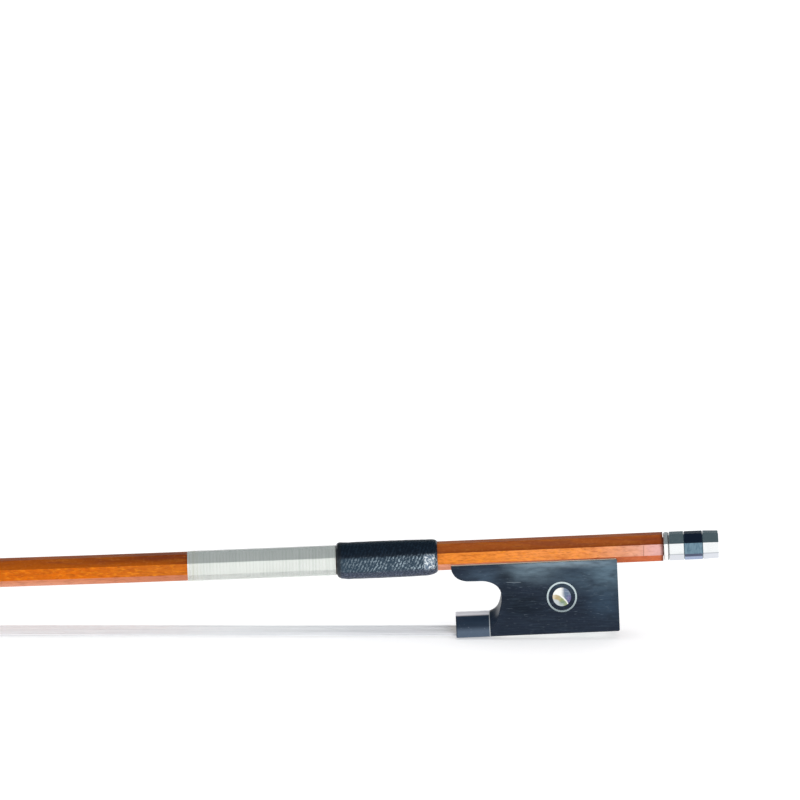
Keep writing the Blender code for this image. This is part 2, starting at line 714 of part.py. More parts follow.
def make_leather(finish, handle):
    outer, rounding = LEATHER_WIDTH / 2, LEATHER_ROUNDING
    end = BUTT_WIDTH / 2 - rounding / 2
    front, rear = -leather_rear() - LEATHER_LENGTH, -leather_rear()
    rear_arc = arc((rear - rounding, outer - rounding), rounding, 0, 90, 5)
    front_arc = arc((front + rounding, outer - rounding), rounding, 90, 180, 5)
    profile = [(0, rear), (end, rear)]
    profile += [(r, x) for x, r in rear_arc + front_arc]
    profile += [(end, front), (0, front)]
    leather = turned("thumb_leather", profile, finish, handle, 40, matrix=ALONG_X)
    bore = octagon_outline(BUTT_WIDTH + 2 * LEATHER_BORE_GAP)
    reach = 0.001
    cutter = extruded("leather_bore_cutter", [bore], "YZ", front - reach, rear + reach, None, handle)
    boolean(leather, cutter)
    return leather


# Frog
def heel_x():
    return -HEEL_FROM_BUTT


def ferrule_rear():
    return heel_x() - FROG_BODY_LENGTH


def ferrule_front():
    return ferrule_rear() - FERRULE_LENGTH


def tongue_front():
    return heel_x() - frog_length()


def ferrule_bottom():
    return -FROG_DEPTH - FERRULE_PROUD


def ferrule_arch(inset, lowest=0.0):
    """The arch of the ferrule, drawn in by inset, from lowest above its springing."""
    half = FERRULE_WIDTH / 2 - inset
    spring = ferrule_bottom() + FERRULE_SIDE
    rise = FERRULE_HEIGHT - FERRULE_SIDE - inset
    first = math.asin(max(lowest, 0.0) / rise)
    angles = np.linspace(first, math.pi - first, 25)
    return [(half * math.cos(a), spring + rise * math.sin(a)) for a in angles]


def ferrule_outline(inset):
    """The ferrule's section, flat below and arched above, drawn in by inset."""
    half, bottom = FERRULE_WIDTH / 2 - inset, ferrule_bottom() + inset
    corner = FERRULE_CORNER - inset
    right = arc((half - corner, bottom + corner), corner, -90, 0, 3)
    left = arc((-half + corner, bottom + corner), corner, 180, 270, 3)
    return right + ferrule_arch(inset) + left


def tenon_outline():
    """The frog's tenon fills the ferrule's arch above the hair."""
    gap, floor = FERRULE_WALL + TENON_GAP, channel_floor()
    below = ferrule_bottom() + FERRULE_SIDE - floor
    arch = ferrule_arch(gap, -below)
    if below > 0:
        half = FERRULE_WIDTH / 2 - gap
        return [(half, floor)] + arch + [(-half, floor)]
    return arch


def throat_curve():
    """From the tongue's underside round the throat to the top of the ferrule."""
    top, bottom = -RAIL_DEPTH - TONGUE_THICKNESS, ferrule_bottom() + FERRULE_HEIGHT
    apex = ferrule_rear() + THROAT_DEPTH
    height = top - bottom
    points = [(tongue_front() + TONGUE_ROUNDING * 1.6, top)]
    points.append((ferrule_rear() - THROAT_DEPTH * 0.15, top - height * 0.02))
    points += [(apex - THROAT_DEPTH * back, top - height * down) for back, down in THROAT_BEND]
    points.append((ferrule_rear(), bottom))
    return [tuple(p) for p in smooth_rows(points, 3, path_lengths(points))]


def throat_lines():
    """The throat's roof and its floor, each from the front to the apex."""
    curve = throat_curve()
    apex = max(range(len(curve)), key=lambda i: curve[i][0])
    return np.array(curve[: apex + 1]), np.array(curve[apex:][::-1])


def throat_cutter(frog):
    """Opens the throat. Its roof is flat across, and its floor is arched as the ferrule is, with an
    arch that fades out towards the apex."""
    roof, floor = throat_lines()
    half, far = FERRULE_WIDTH / 2, FROG_WIDTH
    stations = [0.0] + [math.sin(a) for a in np.linspace(0, math.radians(THROAT_END), THROAT_STEPS)]
    rings = []
    for i, share in enumerate(stations):
        x = ferrule_rear() + THROAT_DEPTH * share
        top, middle = np.interp(x, *roof.T), np.interp(x, *floor.T)
        rise = (FERRULE_HEIGHT - FERRULE_SIDE) * (1 - share**2)
        side = middle - rise
        if i == 0:
            x -= THROAT_DEPTH
        arch = [(x, half * math.cos(a), side + rise * math.sin(a)) for a in np.linspace(0, math.pi, 25)]
        rings.append([(x, far, top), (x, far, side)] + arch + [(x, -far, side), (x, -far, top)])
    return loft("throat_cutter", rings, None, frog)


def frog_outline():
    """Side view of the frog's block without its tenon and before its throat is opened, in X and Z."""
    heel, bottom, rail = heel_x(), -FROG_DEPTH, -RAIL_DEPTH
    corner = (heel - HEEL_CORNER, bottom + HEEL_CORNER)
    front = tongue_front()
    tongue = [
        (front, rail),
        (front + 0.0003, rail - TONGUE_THICKNESS * 0.35),
        (front + TONGUE_ROUNDING * 0.38, rail - TONGUE_THICKNESS * 0.75),
        (front + TONGUE_ROUNDING * 0.85, rail - TONGUE_THICKNESS * 0.95),
    ]
    tongue.append(throat_curve()[0])
    tongue = [tuple(p) for p in smooth_rows(tongue, 3, path_lengths(tongue))]
    outline = [(ferrule_rear(), bottom)] + arc(corner, HEEL_CORNER, -90, 0, 3)
    roof = throat_lines()[0]
    under_tongue = [tuple(p) for p in roof[1:] if p[0] < ferrule_rear()]
    last = (ferrule_rear(), float(np.interp(ferrule_rear(), *roof.T)))
    return outline + [(heel, rail)] + tongue + under_tongue + [last]


def cheek_outline():
    """Section of the frog: full at the bottom, drawn in to the waist, in Y and Z."""
    half, waist = FROG_WIDTH / 2, WAIST_WIDTH / 2
    bottom, rail = -FROG_DEPTH, -RAIL_DEPTH
    full = bottom + CHEEK_RISE
    height = rail - full
    right = [
        (half - FROG_EDGE, bottom),
        (half, bottom + FROG_EDGE),
        (half, full),
        (waist + (half - waist) * 0.58, full + height * 0.22),
        (waist + (half - waist) * 0.2, full + height * 0.48),
        (waist, full + height * 0.78),
        (waist, rail),
    ]
    bend = smooth_rows(right[2:], 3, path_lengths(right[2:]))
    right = right[:2] + [tuple(p) for p in bend]
    return right + [(-y, z) for y, z in reversed(right)]


def facet_line(offset, top):
    """The stick's lower three facets moved out by offset, up to the height top, in Y and Z."""
    reach = BUTT_WIDTH / 2 + offset
    corner = reach * math.tan(OCTAGON_HALF_ANGLE)
    edge = reach * math.sqrt(2) + top
    return [(-edge, top), (-corner, -reach), (corner, -reach), (edge, top)]


def groove_offset():
    return SLIDING_GAP + UNDERSLIDE_THICKNESS + INLAY_GAP


def channel_floor():
    return -FROG_DEPTH + CHANNEL_DEPTH


def slide_outline(inset, low, high):
    """Dovetail section of the slide or of its channel between two heights."""
    total = PEARL_THICKNESS + BACKING_THICKNESS + 2 * SLIDE_GAP

    def half(z):
        return SLIDE_WIDTH / 2 + SLIDE_DOVETAIL * (z + FROG_DEPTH) / total - inset

    return [(-half(low), low), (half(low), low), (half(high), high), (-half(high), high)]


def slide_top():
    return -FROG_DEPTH + PEARL_THICKNESS + BACKING_THICKNESS + SLIDE_GAP


def frog_mortise():
    """X of the frog mortise's two walls and its height over the axis's negative depth."""
    rear = heel_x() - FROG_MORTISE_FROM_HEEL
    return rear - FROG_MORTISE_LENGTH, rear, channel_floor() + FROG_MORTISE_HEIGHT


def cut_hair_space(body, frog):
    reach = 0.002
    below = -FROG_DEPTH - reach
    front, rear, top = frog_mortise()
    start, half = ferrule_rear() - reach, CHANNEL_WIDTH / 2
    channel = block("hair_channel_cutter", (start, -half, below),
                    (rear - 0.0010, half, channel_floor()), None, frog)
    slide_end = heel_x() - SLIDE_HEEL_MARGIN + SLIDE_GAP
    outline = slide_outline(-SLIDE_GAP, -FROG_DEPTH - 0.0005, slide_top() + SLIDE_GAP)
    slide = extruded("slide_channel_cutter", [outline], "YZ", start, slide_end, None, frog)
    half = FROG_MORTISE_WIDTH / 2
    mortise = block("frog_mortise_cutter", (front, -half, below), (rear, half, top), None, frog)
    for cutter in (slide, mortise):
        boolean(body, cutter)
    return channel


def eye_profile(kind, low, high, gap):
    """Profile of the eye's ring or pearl, or of the hole for it."""
    if kind == "pearl":
        return cylinder_profile(EYE_PEARL_RADIUS + gap, low, high)
    outer, inner = EYE_RING_RADIUS + gap, EYE_RING_RADIUS - EYE_RING_LINE - gap
    return [(outer, high), (outer, low), (inner, low), (inner, high)]


def eye_matrix(side):
    turn = ALONG_Y if side > 0 else ALONG_Y.inverted()
    return Matrix.Translation((heel_x() - EYE_FROM_HEEL, 0, -EYE_DEPTH)) @ turn


def make_eyes(body, cheeks, finishes, frog):
    for side, word in ((1, "left"), (-1, "right")):
        at = eye_matrix(side)
        for kind in ("ring", "pearl"):
            ring = kind == "ring"
            outside = FROG_WIDTH
            hole = eye_profile(kind, EYE_FLOOR, outside, INLAY_GAP)
            cutter = turned(f"eye_{kind}_{word}_cutter", hole, None, frog, EYE_STEPS, ring, at)
            boolean(body, cutter)
            solid = eye_profile(kind, EYE_FLOOR + INLAY_GAP, outside, 0)
            name = f"eye_{kind}_{word}"
            piece = turned(name, solid, finishes["eye_" + kind], frog, EYE_STEPS, ring, at)
            boolean(piece, cheeks, "INTERSECT")


def pin_places():
    return {"front": tongue_front() + PIN_FROM_TONGUE, "rear": heel_x() - PIN_FROM_HEEL}


def make_underslide(body, finishes, frog):
    top = -RAIL_DEPTH + UNDERSLIDE_PROUD
    outline = facet_line(SLIDING_GAP + UNDERSLIDE_THICKNESS, top)
    outline += facet_line(SLIDING_GAP, top)[::-1]
    start, end = tongue_front() + UNDERSLIDE_INSET, heel_x() - UNDERSLIDE_INSET
    slide = extruded("underslide", [outline], "YZ", start, end, finishes["nickel"], frog)
    head = -BUTT_WIDTH / 2 - SLIDING_GAP - INLAY_GAP
    for word, x in pin_places().items():
        at = Matrix.Translation((x, 0, 0))
        shank = cylinder_profile(PIN_RADIUS, head - PIN_LENGTH, head)
        turned(f"underslide_pin_{word}", shank, finishes["nickel"], frog, 16, matrix=at)
        hole = cylinder_profile(PIN_RADIUS + HOLE_GAP, head - PIN_LENGTH - HOLE_GAP, 0)
        cutter = turned(f"pin_{word}_cutter", hole, None, frog, 16, matrix=at)
        boolean(slide, cutter)
        boolean(body, cutter)
    return slide


def make_eyelet(body, slide, finish, frog):
    """Brass nut on a shank that screws into the frog and stands up into the stick's slot."""
    low = -BUTT_WIDTH / 2 - SLIDING_GAP - UNDERSLIDE_THICKNESS - INLAY_GAP
    at = Matrix.Translation((-EYELET_FROM_BUTT, 0, 0))
    half_length, half_width = EYELET_LENGTH / 2, EYELET_WIDTH / 2
    foot = -BUTT_WIDTH / 2 + SLOT_GAP
    corners = (-EYELET_FROM_BUTT - half_length, -half_width, foot), (
        -EYELET_FROM_BUTT + half_length, half_width, EYELET_TOP)
    nut = block("eyelet", *corners, finish, frog, bevel=0.0004)
    shank = cylinder_profile(EYELET_SHANK_RADIUS, low - EYELET_SHANK_LENGTH, -0.003)
    former = turned("eyelet_shank_former", shank, None, frog, 24, matrix=at)
    boolean(nut, former, "UNION")
    bore = cylinder_profile(SCREW_RADIUS + SCREW_GAP, -EYELET_FROM_BUTT - EYELET_LENGTH,
                            -EYELET_FROM_BUTT + EYELET_LENGTH)
    boolean(nut, turned("eyelet_bore_cutter", bore, None, frog, matrix=ALONG_X))
    radius = EYELET_SHANK_RADIUS + HOLE_GAP
    hole = cylinder_profile(radius, low - EYELET_SHANK_LENGTH - SLOT_GAP, 0)
    cutter = turned("eyelet_hole_cutter", hole, None, frog, 24, matrix=at)
    boolean(body, cutter)
    boolean(slide, cutter)


def make_frog_block(finish, cheeks, frog):
    wide = FROG_WIDTH
    body = extruded("frog_block", [frog_outline()], "XZ", -wide, wide, finish, frog)
    boolean(body, cheeks, "INTERSECT")
    boolean(body, throat_cutter(frog))
    outline = tenon_outline()
    front, rear = ferrule_front() + 2 * TENON_GAP, ferrule_rear() + 0.0008
    tenon = extruded("tenon_former", [outline], "YZ", front, rear, None, frog)
    boolean(body, tenon, "UNION")
    reach = 0.002
    line = facet_line(groove_offset(), -RAIL_DEPTH + reach)
    ends = tongue_front() - reach, heel_x() + reach
    boolean(body, extruded("groove_cutter", [line], "YZ", *ends, None, frog))
    return body


def make_ferrule(finish, frog):
    outlines = [ferrule_outline(0), ferrule_outline(FERRULE_WALL)]
    front, rear = ferrule_front(), ferrule_rear() - INLAY_GAP
    return extruded("ferrule", outlines, "YZ", front, rear, finish, frog)


def make_slide(finishes, frog):
    pearl_top = -FROG_DEPTH + PEARL_THICKNESS
    start, end = ferrule_rear() + 2 * INLAY_GAP, heel_x() - SLIDE_HEEL_MARGIN
    pearl = slide_outline(0, -FROG_DEPTH, pearl_top)
    extruded("pearl_slide", [pearl], "YZ", start, end, finishes["eye_pearl"], frog)
    backing = slide_outline(0, pearl_top + SLIDE_GAP, slide_top())
    extruded("slide_backing", [backing], "YZ", start, end, finishes["ebony"], frog)


def hair_floor():
    """Height of the hair's middle where it lies on the ferrule's floor."""
    return ferrule_bottom() + FERRULE_WALL + HAIR_GAP + HAIR_FROG_THICKNESS / 2


def hair_in_channel():
    return channel_floor() - HAIR_GAP - HAIR_FROG_THICKNESS / 2


def make_frog_inside(finishes, frog):
    front, rear, top = frog_mortise()
    half = FROG_MORTISE_WIDTH / 2 - HAIR_GAP
    knot_low = top - FROG_KNOT_HEIGHT - HAIR_GAP
    plug_front = front + HAIR_KNOT_THICKNESS + 4 * HAIR_GAP
    low = (plug_front, -half, slide_top() + 2 * SLIDE_GAP)
    high = (rear - HAIR_GAP, half, knot_low - 2 * HAIR_GAP)
    block("frog_plug", low, high, finishes["plug"], frog, bevel=0.0002)
    radius = min(half, (rear - front) / 2 - HAIR_GAP)
    centre = (front + rear) / 2, knot_low + FROG_KNOT_HEIGHT / 2
    make_knot("frog", centre, radius, FROG_KNOT_HEIGHT, finishes, frog)
    make_spread_wedge(finishes["plug"], frog)


def make_spread_wedge(finish, frog):
    """Fills the space between the tenon and the hair, thick at the front."""
    start, end = ferrule_front() + 3 * TENON_GAP, ferrule_front() + FERRULE_LENGTH * 0.6
    top = channel_floor() - HAIR_GAP
    lift = HAIR_FROG_THICKNESS / 2 + 2 * HAIR_GAP
    outline = [(start, top), (start, hair_floor() + lift), (start + 0.0015, hair_floor() + lift),
               (end, hair_height(end) + lift), (end, top)]
    half = HAIR_FROG_WIDTH / 2
    return extruded("spread_wedge", [outline], "XZ", -half, half, finish, frog)


def hair_height(x):
    """Height of the hair's middle inside the ferrule, where it climbs to its channel."""
    start, end = ferrule_front() + HAIR_BEND_LENGTH, ferrule_rear()
    share = min(max((x - start) / (end - start), 0), 1)
    return hair_floor() + (hair_in_channel() - hair_floor()) * share


# Hair
def hair_rows():
    """World X and Z, width and thickness along the ribbon, from the head's mortise to the frog's."""
    knot_thick, tip_thick = HAIR_KNOT_THICKNESS, HAIR_TIP_THICKNESS
    wall = tip_hair_x()
    narrow = TIP_MORTISE_WIDTH - 2 * KNOT_SIDE_GAP
    head = [
        (wall, knot_bottom() - HAIR_GAP, narrow, knot_thick),
        (wall, 0.0032, narrow, knot_thick),
        (wall + 0.00005, 0.0018, narrow, knot_thick),
        (wall + 0.00045, 0.00055, narrow + 0.0003, 0.00078),
        (wall + 0.0018, 0.0, HAIR_TIP_WIDTH, tip_thick),
        (SEAT_LIP[0], 0.0, HAIR_LIP_WIDTH, tip_thick),
        (SEAT_LIP[0] + HAIR_SPREAD_LENGTH, 0.0, HAIR_LIP_WIDTH + HAIR_SPREAD, tip_thick),
    ]
    rows = [(*beak_to_world(x, z), width, thick) for x, z, width, thick in head]
    rows[-1] = on_hair_line(rows[-1])
    front, rear, top = frog_mortise()
    low, high = hair_floor(), hair_in_channel()
    wide, slim, thick = HAIR_FROG_WIDTH, HAIR_CHANNEL_WIDTH, HAIR_FROG_THICKNESS
    inside = FROG_MORTISE_WIDTH - 2 * KNOT_SIDE_GAP
    turn = front + HAIR_GAP + knot_thick / 2
    knot_low = top - FROG_KNOT_HEIGHT - HAIR_GAP
    tail = [
        (ferrule_front() - HAIR_BEND_LENGTH, low, wide, thick),
        (ferrule_front(), low, wide, thick),
        (ferrule_front() + HAIR_BEND_LENGTH, low, wide, thick),
        (ferrule_rear() - 0.0008, hair_height(ferrule_rear() - 0.0008), slim, thick),
        (ferrule_rear() + 0.0022, high, slim, thick),
        (front - 0.0020, high, slim, thick),
        (front - 0.0003, high, slim - 0.0002, thick),
        (turn - 0.00016, high + 0.00016, inside, thick),
        (turn, high + 0.0007, inside, knot_thick - 0.00005),
        (turn, knot_low - HAIR_GAP, inside, knot_thick - 0.00005),
    ]
    tail = [(*handle_to_world(x, z), width, thick) for x, z, width, thick in tail]
    tail[0] = on_hair_line(tail[0])
    middle = []
    for share in (0.35, 0.7):
        middle.append([a + (b - a) * share for a, b in zip(rows[-1], tail[0])])
    return rows + middle + tail


def on_hair_line(row):
    """Moves a row to the straight line from the head's lip to the ferrule."""
    x, _, width, thick = row
    x0, z0 = beak_to_world(SEAT_LIP[0], 0)
    x1, z1 = handle_to_world(ferrule_front(), hair_floor())
    return x, z0 + (z1 - z0) * (x - x0) / (x1 - x0), width, thick


def hair_section(middle, normal, width, thick):
    """A ribbon's section with fine ridges, as its strands make."""
    upper, lower = [], []
    for k in range(HAIR_STRIPES + 1):
        y = width * (k / HAIR_STRIPES - 0.5)
        half = thick / 2 - HAIR_GROOVE * (k % 2)
        if k in (0, HAIR_STRIPES):
            half = thick * 0.3
        upper.append((middle[0] + normal[0] * half, y, middle[1] + normal[1] * half))
        lower.append((middle[0] - normal[0] * half, y, middle[1] - normal[1] * half))
    return upper + lower[::-1]


def make_hair(finish):
    rows = np.array(hair_rows())
    dense = smooth_rows(rows, 3, path_lengths(rows[:, :2]))
    rings = []
    for i, (x, z, width, thick) in enumerate(dense):
        along = dense[min(i + 1, len(dense) - 1), :2] - dense[max(i - 1, 0), :2]
        normal = np.array((-along[1], along[0])) / np.linalg.norm(along)
        rings.append(hair_section((x, z), normal, width, thick))
    return loft("hair_ribbon", rings, finish)


# Adjuster
def octagon_profile(stations, bore):
    """Profile of an octagonal ring, from (X, width across flats) and a bore across flats."""
    outer = [(corner_radius(width), x) for x, width in reversed(stations)]
    inner = corner_radius(bore)
    return outer + [(inner, stations[0][0]), (inner, stations[-1][0])]


def octagon_ring(name, stations, bore, finish, parent):
    profile = octagon_profile(stations, bore)
    return turned(name, profile, finish, parent, 8, True, FLAT_ON_TOP)


def make_screw(finish, adjuster):
    radius, end = SCREW_RADIUS, -SCREW_REACH
    profile = [(0, SCREW_IN_BUTTON), (radius, SCREW_IN_BUTTON), (radius, end + SCREW_POINT),
               (radius * 0.45, end), (0, end)]
    return turned("adjuster_screw", profile, finish, adjuster, 24, matrix=ALONG_X)


def make_button(finishes, adjuster):
    nickel = finishes["nickel"]
    bore = 2 * (SPIGOT_RADIUS + 3 * RING_GAP)
    x = BUTTON_GAP
    collar = [(x, COLLAR_END_WIDTH), (x + COLLAR_LENGTH * 0.25, COLLAR_WIDTH - 0.0001),
              (x + COLLAR_LENGTH * 0.5, COLLAR_WIDTH), (x + COLLAR_LENGTH * 0.75, COLLAR_WIDTH - 0.0001),
              (x + COLLAR_LENGTH, COLLAR_END_WIDTH)]
    octagon_ring("button_collar", collar, bore, nickel, adjuster)
    x += COLLAR_LENGTH + RING_GAP
    spigot_front = x
    ring = edged(x, x + FRONT_RING_LENGTH, BUTTON_WIDTH, BUTTON_WIDTH)
    octagon_ring("button_front_ring", ring, bore, nickel, adjuster)
    x += FRONT_RING_LENGTH + RING_GAP
    ebony = edged(x, x + EBONY_LENGTH, BUTTON_WIDTH - 0.0001, BUTTON_WIDTH - 0.0001)
    hole = 2 * (SCREW_RADIUS + RING_GAP * 2)
    core = octagon_ring("button_core", ebony, hole, finishes["ebony"], adjuster)
    x += EBONY_LENGTH + RING_GAP
    cap_end = x + REAR_CAP_LENGTH
    spigot_rear = cap_end - CAP_WALL - RING_GAP
    tube = [(SPIGOT_RADIUS, spigot_rear), (SPIGOT_RADIUS, spigot_front),
            (hole / 2, spigot_front), (hole / 2, spigot_rear)]
    former = turned("core_spigot_former", tube, None, adjuster, 32, True, ALONG_X)
    boolean(core, former, "UNION")
    cap = edged(x, cap_end, BUTTON_WIDTH - 0.0001, CAP_END_WIDTH)
    profile = [(0, cap_end)] + [(corner_radius(width), at) for at, width in reversed(cap)]
    profile += [(corner_radius(bore), x), (corner_radius(bore), cap_end - CAP_WALL),
                (0, cap_end - CAP_WALL)]
    turned("button_rear_cap", profile, nickel, adjuster, 8, matrix=FLAT_ON_TOP)


def edged(start, end, start_width, end_width):
    """Stations of an octagonal piece with its end edges broken."""
    edge = BUTTON_EDGE
    return [(start, start_width - 2 * edge), (start + edge, start_width),
            (end - edge, end_width), (end, end_width - 2 * edge)]


# Assembly
def make_finishes():
    return {
        "wood": material("varnished_bow_wood", "#B8610F", 0.30),
        "ebony": material("ebony", "#17202B", 0.40),
        "nickel": material("nickel_silver", "#B9C2C0", 0.25, 1.0),
        "steel": material("screw_steel", "#8A9096", 0.35, 1.0),
        "brass": material("brass", "#C8A24A", 0.35, 1.0),
        "wire": material("silver_wire", "#C6CCC6", 0.30, 1.0),
        "leather": material("black_leather", "#16222E", 0.55),
        "hair": material("horsehair", "#DEDEDC", 0.55),
        "thread": material("binding_thread", "#C9B48A", 0.80),
        "plug": material("maple_plug", "#D8B98A", 0.60),
        "liner": material("black_liner", "#141414", 0.50),
        "plate": material("white_tip_plate", "#EFE8D8", 0.35),
        "eye_ring": material("nickel_eye_ring", "#C4CCCA", 0.25, 1.0),
        "eye_pearl": material("mother_of_pearl", "#D9DCE0", 0.20),
    }


def empty_frame(name):
    frame = bpy.data.objects.new(name, None)
    PARTS.objects.link(frame)
    frame.matrix_world = handle_matrix()
    return frame


def main():
    global PARTS, CUTTERS
    clear_scene()
    PARTS = new_collection("violin_bow")
    CUTTERS = new_collection("cutters")
    finishes = make_finishes()
    handle = empty_frame("handle_frame")
    frog = empty_frame("frog_slide_frame")
    adjuster = empty_frame("adjuster_axis")

    mortise = tip_mortise_cutter()
    stick = make_stick(finishes["wood"], handle)
    boolean(stick, mortise)
    make_head_fittings(finishes, mortise)
    make_head_knot(finishes)
    make_winding(finishes["wire"])
    make_leather(finishes["leather"], handle)
    make_hair(finishes["hair"])

    reach = 0.003
    ends = tongue_front() - reach, heel_x() + reach
    cheeks = extruded("cheek_former", [cheek_outline()], "YZ", *ends, None, frog)
    body = make_frog_block(finishes["ebony"], cheeks, frog)
    boolean(body, cut_hair_space(body, frog))
    make_eyes(body, cheeks, finishes, frog)
    slide = make_underslide(body, finishes, frog)
    make_eyelet(body, slide, finishes["brass"], frog)
    make_ferrule(finishes["nickel"], frog)
    make_slide(finishes, frog)
    make_frog_inside(finishes, frog)

    make_screw(finishes["steel"], adjuster)
    make_button(finishes, adjuster)


main()
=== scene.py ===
# %% [markdown]
# A violin bow, dressed for a photograph.
# The frame holds every rigid piece of the bow, already in its place. This script keeps those pieces,
# gives each one the finish of the real material, and makes the three pieces that a solid can only
# hint at: the wire winding, the leather grip and the ribbon of horsehair.

import json
import math
import random

import bpy
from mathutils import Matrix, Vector, noise


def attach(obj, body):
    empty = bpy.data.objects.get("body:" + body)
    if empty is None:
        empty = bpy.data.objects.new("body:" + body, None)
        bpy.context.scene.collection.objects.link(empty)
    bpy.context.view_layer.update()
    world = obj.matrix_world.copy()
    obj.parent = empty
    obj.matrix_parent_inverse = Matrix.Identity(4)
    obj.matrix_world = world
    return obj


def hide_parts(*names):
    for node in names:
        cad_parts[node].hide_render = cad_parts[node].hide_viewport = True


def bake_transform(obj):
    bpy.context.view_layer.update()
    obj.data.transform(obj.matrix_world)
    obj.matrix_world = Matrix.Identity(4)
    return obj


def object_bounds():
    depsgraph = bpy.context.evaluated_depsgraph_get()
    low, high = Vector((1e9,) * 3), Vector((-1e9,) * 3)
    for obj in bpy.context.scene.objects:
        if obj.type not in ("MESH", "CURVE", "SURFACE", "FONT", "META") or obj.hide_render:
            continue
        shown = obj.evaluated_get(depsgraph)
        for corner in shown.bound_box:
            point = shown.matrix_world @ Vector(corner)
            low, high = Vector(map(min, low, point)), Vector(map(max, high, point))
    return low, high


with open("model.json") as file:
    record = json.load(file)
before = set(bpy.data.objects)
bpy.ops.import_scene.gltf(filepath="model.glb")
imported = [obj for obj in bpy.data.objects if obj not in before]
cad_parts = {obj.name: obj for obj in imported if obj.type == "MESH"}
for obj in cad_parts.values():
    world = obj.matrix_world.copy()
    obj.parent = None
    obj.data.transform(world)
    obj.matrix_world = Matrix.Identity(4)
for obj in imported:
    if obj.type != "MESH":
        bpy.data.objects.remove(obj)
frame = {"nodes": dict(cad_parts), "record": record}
LOW_BEFORE, HIGH_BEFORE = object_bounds()
MM = 0.001
print("pieces of the bow:", len(frame["nodes"]))
print("length in mm:", round((HIGH_BEFORE - LOW_BEFORE).x / MM, 1))

# %% [markdown]
# The handle, the frog and the button share one straight line, the screw's. It rises 2.5 degrees
# towards the button. Two directions describe it, and a distance along it or a height over it is a
# dot product, in Python here and in the materials' nodes further down.

# %% The bow's directions
TILT = math.radians(2.5)
BUTT = Vector((355.9, 0.0, 26.53)) * MM  # where the screw leaves the stick
ALONG = Vector((math.cos(TILT), 0.0, math.sin(TILT)))  # along the screw, towards the button
OVER = Vector((-math.sin(TILT), 0.0, math.cos(TILT)))  # square to the screw, away from the hair
BOW = Vector((1.0, 0.0, 0.0))  # along the whole bow, from the head to the button
ACROSS = Vector((0.0, 1.0, 0.0))
UP = Vector((0.0, 0.0, 1.0))
BUTT_ALONG, BUTT_OVER = BUTT.dot(ALONG), BUTT.dot(OVER)
print("the stick's end lies at", round(BUTT_ALONG / MM, 2), "mm along the handle")

# %% [markdown]
# Colours are written as sRGB hex, as they would be read off a paint card. Shaders work with linear
# values, so one function turns the one into the other.

# %% Colour from hex


def linear(hex_colour):
    """The linear red, green, blue and alpha of an sRGB hex colour."""
    parts = [int(hex_colour[i : i + 2], 16) / 255 for i in (1, 3, 5)]
    return [p / 12.92 if p <= 0.04045 else ((p + 0.055) / 1.055) ** 2.4 for p in parts] + [1.0]


print("mid grey in linear light:", round(linear("#808080")[0], 3))

# %% [markdown]
# Every material and modifier group below is a small tree of nodes. This one function adds a node
# of any kind, gives it its settings, and fills its inputs with values or with links.

# %% Adding a node


def put(tree, kind, inputs=(), **settings):
    """Adds a node. Each input gets a value, or a link if it is given another node's output."""
    made = tree.nodes.new(kind)
    for key, value in settings.items():
        setattr(made, key, value)
    for key, value in dict(inputs).items():
        if isinstance(value, bpy.types.NodeSocket):
            tree.links.new(value, made.inputs[key])
        else:
            made.inputs[key].default_value = value
    return made


# %% [markdown]
# A finish starts with a Principled shader and with the coordinates of the piece itself in metres,
# so a pattern stays on the piece when the piece moves.
#
# Four helpers then make nearly every pattern on a bow. A `zone` is a mask where a place or the way
# a surface faces lies within given ranges: it holds what a piece has at one spot or on one facet.
# A `patch` is a soft oval mask, for painted sheen and shade and for spots of colour. `marks` is a
# mask of cloudy or stretched spots, whose lengths are given in millimetres, because fibres, pores,
# scratches and tarnish differ mostly in those lengths. `layered` lays colours over one another,
# each through its own mask, as stain and varnish are laid.

# %% Helpers for finishes
FINISHES = {}


def start_finish(slot, name, constants):
    """A new material for a slot: its tree, shader, place in metres, and the way its surface faces."""
    material = bpy.data.materials.new(name)
    material.use_nodes = True
    FINISHES[slot] = material
    tree = material.node_tree
    shader = tree.nodes["Principled BSDF"]
    for key, value in constants.items():
        shader.inputs[key].default_value = value
    place = put(tree, "ShaderNodeTexCoord")
    return tree, shader, place.outputs["Object"], place.outputs["Normal"]


def zone(tree, most, *parts):
    """A mask of up to most where all parts meet: masks, or a vector, a direction and a range."""
    mask = most
    for part in parts:
        if not isinstance(part, bpy.types.NodeSocket):
            vector, direction, start, full = part
            pair = {0: vector, 1: tuple(direction)}
            reach = put(tree, "ShaderNodeVectorMath", pair, operation="DOT_PRODUCT")
            limits = {"Value": reach.outputs["Value"], "From Min": start, "From Max": full}
            ramp = put(tree, "ShaderNodeMapRange", limits, interpolation_type="SMOOTHSTEP")
            part = ramp.outputs["Result"]
        both = put(tree, "ShaderNodeMath", {0: part, 1: mask}, operation="MULTIPLY")
        mask = both.outputs["Value"]
    return mask


def patch(tree, where, centre, radii, most):
    """A soft oval mask round a point. The centre and radii are in millimetres."""
    pair = {0: where, 1: [c * MM for c in centre]}
    offset = put(tree, "ShaderNodeVectorMath", pair, operation="SUBTRACT")
    shares = {0: offset.outputs["Vector"], 1: [r * MM for r in radii]}
    scaled = put(tree, "ShaderNodeVectorMath", shares, operation="DIVIDE")
    far = put(tree, "ShaderNodeVectorMath", {0: scaled.outputs["Vector"]}, operation="LENGTH")
    limits = {"Value": far.outputs["Value"], "From Min": 1.0, "From Max": 0.0, "To Max": most}
    ramp = put(tree, "ShaderNodeMapRange", limits, interpolation_type="SMOOTHSTEP")
    return ramp.outputs["Result"]


